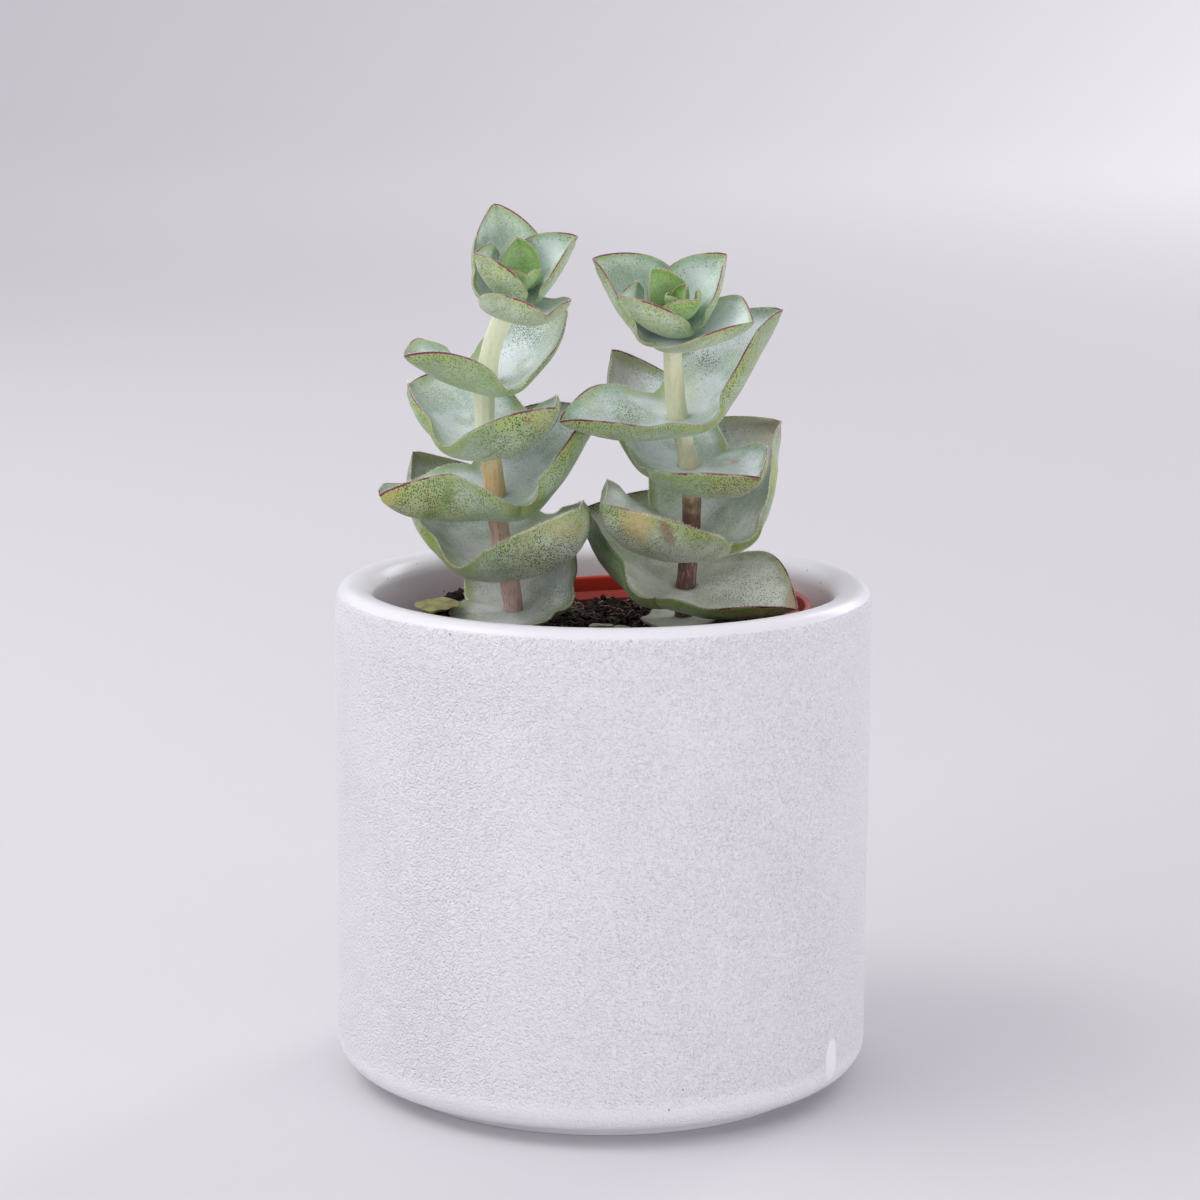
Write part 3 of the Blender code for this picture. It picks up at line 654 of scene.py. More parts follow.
@dataclass
class Palette:
    """Makes the materials."""

    groups: dict = field(default_factory=dict)

    def new(self, name: str) -> tuple:
        """A new material with its graph and its Principled shader."""
        material = bpy.data.materials.new(name)
        material.use_nodes = True
        return material, Graph(material.node_tree), material.node_tree.nodes["Principled BSDF"]

    def shared(self, name: str, build: object) -> bpy.types.NodeTree:
        """A node group that is built once."""
        if name not in self.groups:
            self.groups[name] = build()
        return self.groups[name]

    def dots(self, graph: Graph, vector: object, scale: float, size: float,
             amount: object) -> bpy.types.NodeSocket:
        """Mask of fine dots."""
        values = {"Vector": vector, "Scale": scale, "Size": size, "Amount": amount}
        return graph.group(self.shared("dots", dots_group), values).outputs["Mask"]

    def place_in_mm(self, graph: Graph) -> bpy.types.NodeSocket:
        """The object's own place in millimetres."""
        place = graph.node("TexCoord").outputs["Object"]
        return graph.node("VectorMath", {0: place, 3: 1.0 / MM}, operation="SCALE").outputs[0]

    def pot(self, finish: PotFinish, drip_place: tuple, drip_reach: tuple) -> bpy.types.Material:
        """The cover pot's glaze.

        Args:
            finish: The glaze.
            drip_place: Middle of the smooth drip near the foot.
            drip_reach: Half its size along each axis.

        Returns:
            The material.
        """
        material, graph, shader = self.new("pot_glaze")
        place = self.place_in_mm(graph)
        height = graph.height(place)
        wall = graph.fact("wall").outputs["Fac"]
        drip = graph.ramp(graph.distance(place, drip_place, drip_reach), 0.8, 1.0, 1.0, 0.0)
        values = {"Vector": place, "Scale": finish.pebble_scale}
        pebbles = graph.group(self.shared("pebbles", pebble_group), values)
        depth = graph.times(wall, graph.minus(1.0, drip))
        depth = graph.times(depth, graph.ramp(graph.noise(place, 0.06, 2.0), 0.3, 0.7, 0.9, 1.05))
        raised = graph.times(pebbles.outputs["Height"], depth)
        # Painted warm shade: the glaze turns a little darker and warmer towards the foot.
        tint = graph.mix(graph.ramp(height, 2.0, 26.0), finish.foot_shade_colour, finish.colour)
        stain = graph.ramp(graph.noise(place, 0.03, 2.0, 0.5), 0.4, 0.7, 0.0, 0.25)
        tint = graph.mix(stain, tint, srgb(229, 224, 231))
        tint = graph.mix(graph.times(drip, 0.4), tint, srgb(242, 239, 245))
        few = graph.plus(graph.times(graph.fact("inner").outputs["Fac"], 0.32), 0.03)
        dust = self.dots(graph, place, 0.55, 0.11, few)
        tint = graph.mix(graph.times(dust, 0.75), tint, srgb(92, 78, 76))
        graph.fill(shader, {"Base Color": tint, "Normal": graph.bump(1.0, finish.pebble_depth, raised),
                            "Roughness": finish.roughness, "Specular IOR Level": 0.45})
        return material

    def liner(self, finish: LinerFinish) -> bpy.types.Material:
        """The nursery pot's plastic, darkened lower down by painted shade, and dustier inside."""
        material, graph, shader = self.new("liner_plastic")
        place = self.place_in_mm(graph)
        height = graph.height(place)
        # Painted shade: the red darkens lower down, deep inside the cover pot.
        tint = graph.mix(graph.ramp(height, 60.5, 65.5), finish.liner_shade_colour, finish.colour)
        dust = graph.ramp(graph.noise(place, 1.2, 4.0, 0.65), 0.56, 0.7, 0.0, 0.6)
        tint = graph.mix(graph.times(dust, graph.ramp(height, 66.0, 63.0)), tint, srgb(70, 40, 34))
        grain = graph.bump(0.35, 0.05, graph.noise(place, 4.0))
        graph.fill(shader, {"Base Color": tint, "Normal": grain, "Roughness": finish.roughness})
        return material

    def soil(self, name: str, dark: tuple, pale: tuple, roughness: float, scale: float) -> bpy.types.Material:
        """Peat, or the crumbs, fibres and grit in it."""
        material, graph, shader = self.new(name)
        place = self.place_in_mm(graph)
        tint = graph.mix(graph.ramp(graph.noise(place, scale, 5.0, 0.7), 0.42, 0.78), dark, pale)
        rough = graph.bump(0.8, 0.2, graph.noise(place, 3.0, 5.0, 0.7))
        graph.fill(shader, {"Base Color": tint, "Normal": rough, "Roughness": roughness,
                            "Specular IOR Level": 0.25})
        return material

    def stem(self, name: str, finish: StemFinish) -> bpy.types.Material:
        """A stem's skin, from brown bark at its foot to cream at its top."""
        material, graph, shader = self.new(name)
        place = self.place_in_mm(graph)
        height = graph.height(place)
        height = graph.plus(height, graph.ramp(graph.noise(place, 0.7, 3.0), 0.2, 0.8, -1.6, 1.6))
        tint = finish.foot
        for ends, blur, above in ((finish.foot_ends, 3.0, finish.low), (finish.low_ends, 3.0, finish.middle),
                                  (finish.middle_ends, 3.5, finish.top)):
            tint = graph.mix(graph.ramp(height, ends - blur, ends + blur), tint, above)
        lines = graph.noise(graph.stretch(place, (2.6, 2.6, 0.22)), 1.0, 4.0, 0.6)
        bare = graph.ramp(height, finish.middle_ends, finish.low_ends - 4.0, 0.12, 0.75)
        streaks = graph.times(graph.ramp(lines, 0.5, 0.66), bare)
        tint = graph.mix(streaks, tint, srgb(112, 84, 78))
        shine = graph.times(graph.ramp(lines, 0.46, 0.34), bare)
        tint = graph.mix(graph.times(shine, 0.6), tint, srgb(206, 180, 172))
        graph.fill(shader, {"Base Color": tint, "Normal": graph.bump(0.5, 0.12, lines),
                            "Roughness": finish.roughness, "Subsurface Weight": 0.12,
                            "Subsurface Scale": 0.8 * MM})
        return material

    def leaf(self, name: str, finish: LeafFinish, marks: tuple = ()) -> bpy.types.Material:
        """A leaf pair's skin.

        The mesh keeps skin (along, across and side, in millimetres), rim (millimetres to the edge), share
        (0 at the stem, 1 at the tip) and under (1 on the underside).

        Args:
            name: Name of the material.
            finish: The skin's colours and amounts.
            marks: Coloured spots.

        Returns:
            The material.
        """
        material, graph, shader = self.new(name)
        skin = graph.fact("skin").outputs["Vector"]
        rim = graph.fact("rim").outputs["Fac"]
        share = graph.fact("share").outputs["Fac"]
        under = graph.fact("under").outputs["Fac"]
        place = self.place_in_mm(graph)
        broad = graph.noise(skin, 0.14, 2.0, 0.5)
        other = graph.noise(graph.stretch(skin, (0.2, 0.2, 1.0), (31.0, 17.0, 3.0)), 1.0, 3.0, 0.6)
        veins = graph.noise(graph.stretch(skin, (0.12, 1.1, 1.0)), 1.0, 4.0, 0.62)
        frost = graph.noise(skin, 2.2, 3.0, 0.7)
        grain = graph.noise(place, 7.0, 1.0, 0.5)
        bare = graph.mix(under, finish.flesh, finish.under)
        bare = graph.mix(graph.ramp(other, 0.42, 0.62, 0.0, finish.warm_amount), bare, finish.warm)
        covers = {"Factor": under, 2: finish.bloom_amount, 3: finish.under_bloom}
        cover = graph.node("Mix", covers, data_type="FLOAT").outputs[0]
        bloom = graph.times(graph.ramp(broad, 0.36, 0.6, 1.25, 0.6), cover)
        for unevenness, spread, change in ((veins, 0.14, -0.06), (frost, 0.18, 0.1), (grain, 0.2, 0.16)):
            bloom = graph.plus(bloom, graph.ramp(unevenness, 0.5 - spread, 0.5 + spread, -change, change))
        inwards = graph.ramp(rim, 0.2, 1.5 * finish.warm_reach, 0.3, 1.0)
        bloom = graph.times(bloom, inwards, clamp=True)
        tint = graph.mix(bloom, bare, finish.bloom)
        reach = graph.times(graph.ramp(other, 0.34, 0.66, 0.2, 1.6), finish.warm_reach)
        zone = graph.times(graph.ramp(rim, reach, 0.1), graph.ramp(broad, 0.34, 0.62, 0.15, 1.0))
        tint = graph.mix(graph.times(zone, finish.warm_amount, clamp=True), tint, finish.warm)
        dots = self.dots(graph, skin, 2.6, 0.32, graph.ramp(rim, 4.0, 0.5, 0.07, 0.75))
        small = self.dots(graph, graph.stretch(skin, (1.0, 1.0, 1.0), (9.0, 4.0, 2.0)), 4.2, 0.5, 1.0)
        patches = graph.ramp(other, 0.38, 0.6, 0.3, 1.3)
        strewn = graph.times(graph.ramp(under, 0.0, 1.0, 0.3, 0.9), patches)
        dots = graph.math("MAXIMUM", dots, graph.times(small, strewn))
        dots = graph.times(dots, graph.ramp(share, 0.04, 0.3, 0.1, 0.85))
        tint = graph.mix(graph.times(dots, finish.speck_amount), tint, finish.speck)
        if finish.wear > 0.0:
            worn = graph.noise(graph.stretch(skin, (0.3, 0.9, 1.0), (7.0, 3.0, 0.0)), 1.0, 5.0, 0.7)
            worn = graph.ramp(worn, 0.54, 0.72)
            tint = graph.mix(graph.times(worn, finish.wear), tint, srgb(122, 116, 84))
        for mark in marks:
            values = {"Vector": skin, "Place": mark.place, "Reach": mark.reach}
            spot = graph.group(self.shared("spot", spot_group), values).outputs["Mask"]
            if mark.dotted:
                spot = graph.times(spot, graph.plus(small, dots, clamp=True))
            tint = graph.mix(graph.times(spot, mark.amount), tint, mark.colour)
        pale = graph.times(graph.ramp(rim, 0.3, 0.1), graph.ramp(grain, 0.4, 0.6, 0.1, 0.6))
        tint = graph.mix(pale, tint, srgb(226, 230, 212))
        line = graph.ramp(graph.plus(rim, graph.ramp(frost, 0.3, 0.7, -0.07, 0.07)), 0.22, 0.08)
        tipwards = graph.ramp(share, 0.2, 0.75, 0.3, 1.0)
        strong = graph.times(tipwards, graph.ramp(other, 0.36, 0.6, 0.25, 1.2))
        line = graph.times(graph.times(line, strong), 1.2 * finish.edge_amount, clamp=True)
        tint = graph.mix(line, tint, finish.edge)
        relief = graph.minus(graph.plus(veins, frost), graph.times(dots, 0.6))
        relief = graph.plus(graph.times(grain, 0.8), relief)
        graph.fill(shader, {"Base Color": tint, "Normal": graph.bump(0.6, 0.14, relief),
                            "Roughness": graph.ramp(bloom, 0.0, 1.0, 0.44, 0.66), "Specular IOR Level": 0.4,
                            "Sheen Weight": 0.2, "Sheen Roughness": 0.4, "Sheen Tint": srgb(244, 252, 246)})
        return material

    def loose_leaf(self, name: str, colour: tuple, end_colour: tuple) -> bpy.types.Material:
        """A dull fallen leaf with browned patches and fine dots."""
        material, graph, shader = self.new(name)
        place = self.place_in_mm(graph)
        patch = graph.ramp(graph.noise(place, 0.35, 4.0, 0.65), 0.45, 0.62)
        tint = graph.mix(patch, colour, end_colour)
        tint = graph.mix(graph.times(self.dots(graph, place, 2.6, 0.4, 0.5), 0.5), tint, srgb(84, 78, 50))
        wrinkles = graph.bump(0.6, 0.15, graph.noise(place, 2.2, 4.0, 0.7))
        graph.fill(shader, {"Base Color": tint, "Normal": wrinkles, "Roughness": 0.65})
        return material

    def hair(self, name: str, colour: tuple, other: tuple) -> bpy.types.Material:
        """Pale edge hairs, some of them pinkish."""
        material, graph, shader = self.new(name)
        pink = graph.ramp(graph.noise(self.place_in_mm(graph), 0.4, 2.0), 0.45, 0.6)
        graph.fill(shader, {"Base Color": graph.mix(pink, colour, other), "Roughness": 0.6})
        return material

    def plain(self, name: str, colour: tuple, roughness: float) -> bpy.types.Material:
        """One even colour."""
        material, graph, shader = self.new(name)
        graph.fill(shader, {"Base Color": colour, "Roughness": roughness})
        return material


@dataclass
class CoverPot:
    """The white outer pot."""

    finish: PotFinish
    radius: float = 37.5
    height: float = 70.2
    inner_radius: float = 32.0
    crest_radius: float = 35.1
    outer_drop: float = 2.4
    inner_drop: float = 2.8
    floor_top: float = 7.0
    inner_corner: float = 4.0
    outer_corner: float = 3.6
    foot_radius: float = 31.6
    foot_height: float = 1.9
    rim_step: float = 0.09
    wall_rows: int = 22
    half_pebbled: float = 0.45
    drip_angle: float = -32.5
    drip_height: float = 7.2
    drip_reach: tuple = (2.0, 1.5, 3.3)
    sides: int = 192

    def profile(self) -> list:
        """Radius, height and share of pebbled skin, from the floor inside over the rim to the foot."""
        def arc(centre: tuple, radii: tuple, start: float, end: float, steps: int) -> list:
            """Points of an elliptical arc."""
            angles = [math.radians(start + (end - start) * step / steps) for step in range(steps + 1)]
            return [(centre[0] + radii[0] * math.cos(a), centre[1] + radii[1] * math.sin(a)) for a in angles]
        wall_top = self.height - self.inner_drop
        shoulder = self.height - self.outer_drop
        low = self.foot_height + self.outer_corner
        corner = self.inner_corner
        points = [(0.01, self.floor_top), (self.inner_radius * 0.5, self.floor_top)]
        points += arc((self.inner_radius - corner, self.floor_top + corner), (corner, corner), -90, 0, 6)
        points += [(self.inner_radius, h) for h in np.linspace(20.0, wall_top - 2.0, 8)]
        crest = self.crest_radius
        points += arc((crest, wall_top), (crest - self.inner_radius, self.inner_drop), 180, 90, 10)
        rim = self.radius - self.rim_step
        points += arc((crest, shoulder), (rim - crest, self.outer_drop), 90, 0, 10)[1:]
        plain = len(points) - 5
        points += [(rim, shoulder - 1.2)]
        points += [(self.radius, h) for h in np.linspace(shoulder - 1.45, low + 1.5, self.wall_rows)]
        pebbled = len(points)
        corner = self.outer_corner
        points += arc((self.radius - corner, low), (corner, corner), 0, -90, 9)
        foot = self.foot_radius
        points += [(foot + 0.25, self.foot_height), (foot, self.foot_height - 0.25), (foot, 0.3),
                   (foot - 0.3, 0.0), (foot * 0.5, 0.0), (0.01, 0.0)]
        shares = [0.0] * (plain + 1) + [1.0] * (pebbled - plain - 1) + [self.half_pebbled] * 5
        shares += [0.0] * (len(points) - len(shares))
        return [(r, h, share) for (r, h), share in zip(points, shares)]

    def build(self, palette: Palette) -> None:
        """Turns the profile and dresses it."""
        outline = self.profile()
        angles = np.arange(self.sides) / self.sides * math.tau
        radii = np.array([point[0] for point in outline])[:, None]
        heights = np.array([point[1] for point in outline])[:, None] + 0.0 * angles
        points = np.stack([radii * np.cos(angles), radii * np.sin(angles), heights], axis=-1)
        wall = np.array([point[2] for point in outline])[:, None] + 0.0 * angles
        inner = (radii < self.crest_radius) & (heights > self.floor_top + 1.0)
        mesh = skin_mesh("pot_shell", points, {"wall": wall, "inner": inner.astype(float)})
        drip = around(self.radius, math.radians(self.drip_angle), self.drip_height)
        material = palette.pot(self.finish, tuple(drip), self.drip_reach)
        show("pot_shell", mesh, material, Slot.POT, "cover_pot")


@dataclass
class Liner:
    """The thin red nursery pot."""

    finish: LinerFinish
    foot: tuple = (4.7, 0.8)
    lean: float = 2.0
    rim_radius: float = 26.5
    height: float = 58.3
    rim_band: float = 3.2
    rim_lip: float = 0.8
    base_radius: float = 21.0
    wall: float = 1.0
    floor: float = 1.2
    stands_on: float = 7.0
    clearance: float = 0.3
    drain_holes: int = 5
    drain_radius: float = 2.5
    drain_circle: float = 12.5
    sides: int = 120

    def place(self) -> Matrix:
        """Where it stands, in millimetres."""
        lean = math.radians(self.lean)
        foot = self.stands_on + self.clearance + self.base_radius * math.sin(lean)
        return Matrix.Translation((self.foot[0], self.foot[1], foot)) @ Matrix.Rotation(-lean, 4, "Y")

    def body_radius(self, height: float) -> float:
        """Its outer radius at a height over its foot, below its rim band."""
        return self.base_radius + (self.rim_radius - self.rim_lip - self.base_radius) * height / self.height

    def build(self, palette: Palette) -> None:
        """Turns the shell, drills its drainage holes and dresses it."""
        band = self.height - self.rim_band
        lip = self.wall * 0.5
        rim = self.rim_radius
        base = self.base_radius
        inner = self.body_radius(self.floor) - self.wall
        outline = [(0.01, self.floor), (base * 0.5, self.floor), (inner - 0.6, self.floor),
                   (inner, self.floor + 0.6), (self.body_radius(band) - self.wall, band),
                   (rim - self.wall, band + self.wall)]
        for step in range(9):
            angle = math.radians(180.0 - 22.5 * step)
            outline.append((rim - lip + lip * math.cos(angle), self.height - lip + lip * math.sin(angle)))
        outline += [(rim, band + 0.2), (rim - 0.2, band), (self.body_radius(band), band), (base, 0.6),
                    (base - 0.6, 0.0), (base * 0.5, 0.0), (0.01, 0.0)]
        angles = [math.tau * side / self.sides for side in range(self.sides)]
        place = self.place()
        rows = [[place @ around(radius, angle, height) for angle in angles] for radius, height in outline]
        piece = show("liner_shell", skin_mesh("liner_shell", np.array(rows)), palette.liner(self.finish),
                     Slot.LINER, "nursery_pot")
        piece.data.set_sharp_from_angle(angle=math.radians(40.0))
        self.drill(piece)

    def drill(self, piece: bpy.types.Object) -> None:
        """Cuts the drainage holes through the floor."""
        drill = bmesh.new()
        for hole in range(self.drain_holes):
            angle = math.tau * (hole + 0.25) / self.drain_holes
            made = bmesh.ops.create_cone(drill, cap_ends=True, segments=32, radius1=self.drain_radius * MM,
                                         radius2=self.drain_radius * MM, depth=4.0 * self.floor * MM)
            bmesh.ops.translate(drill, verts=made["verts"], vec=around(self.drain_circle, angle, 0.0) * MM)
        place = self.place()
        place.translation *= MM
        bmesh.ops.transform(drill, matrix=place, verts=drill.verts)
        cutter = bpy.data.objects.new("drain_drill", finished("drain_drill", drill))
        bpy.context.scene.collection.objects.link(cutter)
        cut = piece.modifiers.new("Drain holes", "BOOLEAN")
        cut.operation = "DIFFERENCE"
        cut.solver = "EXACT"
        cut.object = cutter
        depsgraph = bpy.context.evaluated_depsgraph_get()
        baked = bpy.data.meshes.new_from_object(piece.evaluated_get(depsgraph))
        piece.modifiers.clear()
        piece.data = baked
        bpy.data.objects.remove(cutter, do_unlink=True)


@dataclass
class Soil:
    """The peat with its crumbs, fibres and grit."""

    finish: SoilFinish
    liner: Liner
    level: float = 63.0
    heap_height: float = 1.0
    heap_x: float = -14.0
    heap_y: float = 12.0
    heap_spread: float = 9.0
    edge_drop: float = 0.8
    clearance: float = 0.3
    sides: int = 220
    rows: int = 84
    crumbs: int = 1100
    grit: int = 46
    pile: int = 820
    pile_from: float = 136.0
    pile_to: float = 216.0
    fibres: int = 300
    fibre_steps: int = 9
    seed: int = 11

    def height(self, x: float, y: float) -> float:
        """Height of the crumbly surface over a point."""
        heap = math.exp(-((x - self.heap_x) ** 2 + (y - self.heap_y) ** 2) / self.heap_spread ** 2)
        coarse = noise.noise(Vector((0.45 * x, 0.45 * y, 3.0)))
        fine = noise.turbulence(Vector((1.1 * x, 1.1 * y, 9.0)), 3, False)
        return self.level + self.heap_height * heap + 0.55 * coarse + 0.55 * (fine - 0.45)

    def radius_at(self, level: float) -> float:
        """Its radius at a height over the liner's foot."""
        return self.liner.body_radius(level) - self.liner.wall - self.clearance

    def build(self, palette: Palette) -> None:
        """Builds the body and scatters what lies in it."""
        place = self.liner.place()
        floor = self.liner.floor + self.clearance
        edge = self.level - place.translation.z - self.edge_drop
        outline = [(share, floor) for share in (0.001, 0.5, 0.97)]
        outline += [(1.0, floor + 1.0), (1.0, 0.5 * edge), (1.0, edge)]
        outline += [((self.rows - row) / self.rows, None) for row in range(1, self.rows)] + [(0.001, None)]
        rows = []
        for share, height in outline:
            level = edge if height is None else height
            reach = self.radius_at(level) * share
            row = []
            for side in range(self.sides):
                point = place @ around(reach, math.tau * side / self.sides, level)
                if height is None:
                    point.z = self.height(point.x, point.y)
                row.append(point)
            rows.append(row)
        peat = palette.soil("peat_body", self.finish.dark, self.finish.pale, self.finish.roughness, 1.1)
        show("soil_body", skin_mesh("soil_body", np.array(rows)), peat, Slot.SOIL, "soil")
        self.scatter_crumbs(palette)
        self.pile_crumbs(palette)
        self.scatter_fibres(palette)

    def spot(self, random: np.random.Generator) -> Vector:
        """A random point on the surface, evenly spread over a disc 2 mm left of the liner's middle."""
        reach = self.radius_at(54.0) - 0.8
        while True:
            x, y = random.uniform(-reach, reach, 2)
            if x * x + y * y < reach * reach:
                centre = self.liner.place().translation
                x += centre.x - 2.0
                y += centre.y
                return Vector((x, y, self.height(x, y)))

    def lump(self, heap: bmesh.types.BMesh, random: np.random.Generator, low: float, high: float) -> tuple:
        """A jagged lump at the origin, with the turn that it is to get."""
        made = bmesh.ops.create_icosphere(heap, subdivisions=1, radius=random.uniform(low, high) * MM)
        for vert in made["verts"]:
            vert.co *= 1.0 + random.uniform(-0.3, 0.3)
        turn = Matrix.Rotation(random.uniform(0.0, math.tau), 4, Vector(random.uniform(-1.0, 1.0, 3)))
        return made["verts"], turn

    def scatter_crumbs(self, palette: Palette) -> None:
        """Small lumps of peat, and some pale grit."""
        random = np.random.default_rng(self.seed)
        peat = palette.soil("peat_crumb", self.finish.dark, self.finish.crumb, 0.95, 0.7)
        grit = palette.soil("grit", self.finish.grit, srgb(170, 140, 118), 0.8, 0.6)
        for name, count, low, high, material in (("soil_crumbs", self.crumbs, 0.25, 0.75, peat),
                                                 ("soil_grit", self.grit, 0.16, 0.34, grit)):
            heap = bmesh.new()
            for _ in range(count):
                spot = self.spot(random)
                verts, turn = self.lump(heap, random, low, high)
                flat = Matrix.Diagonal((1.0, random.uniform(0.55, 1.0), random.uniform(0.5, 0.9), 1.0))
                bmesh.ops.transform(heap, verts=verts, matrix=Matrix.Translation(spot * MM) @ turn @ flat)
            show(name, finished(name, heap), material, Slot.SOIL)

    def pile_crumbs(self, palette: Palette) -> None:
        """Crumbs heaped at the left against the liner, some of them spilled over its rim."""
        random = np.random.default_rng(self.seed + 5)
        place = self.liner.place()
        heap = bmesh.new()
        for index in range(self.pile):
            on_rim = index % 2 == 0
            angle = math.radians(random.uniform(self.pile_from, self.pile_to))
            inwards = random.uniform(-0.3, 1.1) if on_rim else random.uniform(1.0, 6.5)
            top = self.liner.height + (0.15 if on_rim else -0.2 - 0.35 * inwards)
            spot = place @ around(self.liner.rim_radius - inwards, angle, top)
            spot.z += random.uniform(-0.3, 0.3)
            verts, turn = self.lump(heap, random, 0.25, 0.75)
            bmesh.ops.transform(heap, verts=verts, matrix=Matrix.Translation(spot * MM) @ turn)
        peat = palette.soil("peat_pile", self.finish.dark, self.finish.crumb, 0.95, 0.7)
        show("soil_pile", finished("soil_pile", heap), peat, Slot.SOIL)

    def scatter_fibres(self, palette: Palette) -> None:
        """Curled root fibres."""
        random = np.random.default_rng(self.seed + 1)
        for name, count, thick, colour in (("soil_fibres", self.fibres, 0.09, self.finish.fibre),
                                           ("soil_dark_fibres", self.fibres, 0.12, srgb(58, 42, 36))):
            parts = bmesh.new()
            for _ in range(count):
                spot = self.spot(random) + Vector((0.0, 0.0, 0.25))
                heading = random.uniform(0.0, math.tau)
                curl = random.uniform(-0.9, 0.9)
                step = random.uniform(0.25, 0.5)
                route = []
                for index in range(self.fibre_steps):
                    route.append(spot.copy())
                    heading += curl * random.uniform(0.3, 1.0)
                    rise = random.uniform(-0.12, 0.2) if index < 5 else random.uniform(-0.3, 0.02)
                    spot = spot + around(step, heading, rise)
                shares = np.linspace(0.0, 1.0, self.fibre_steps)
                radii = [thick * (1.0 - 0.6 * abs(share - 0.4)) for share in shares]
                strand = skin_mesh("fibre", tube_points(route, radii, 4))
                parts.from_mesh(strand)
                bpy.data.meshes.remove(strand)
            mesh = finished(name, parts)
            mesh.shade_smooth()
            show(name, mesh, palette.soil(name, colour, srgb(96, 74, 62), 0.85, 1.0), Slot.SOIL)


@dataclass
class StemBuilder:
    """Builds one bare stem."""

    name: str
    node: str
    stem: Stem
    finish: StemFinish
    knots: tuple
    top_pair: LeafPair
    sides: int = 40
    steps: int = 22
    knot_swell: float = 0.16
    rib_depth: float = 0.035

    def build(self, palette: Palette) -> None:
        """Sweeps the stem with a slight swelling at each leaf pair."""
        top = Vector(self.top_pair.at)
        below = [point for point in self.stem.points if point[2] < top.z - 1.5]
        route = curve_through(below + [tuple(top)], self.steps)
        radii = []
        for point in route:
            swell = sum(math.exp(-((point.z - knot) / 1.1) ** 2) for knot in self.knots)
            radii.append(self.stem.radius * (1.0 - 0.04 * math.sin(point.z * 0.5)) + self.knot_swell * swell)
        points = tube_points(route, radii, self.sides, self.rib_depth)
        material = palette.stem(self.name + "_skin", self.finish)
        show(self.name, skin_mesh(self.name, points), material, Slot.STEM, self.node)


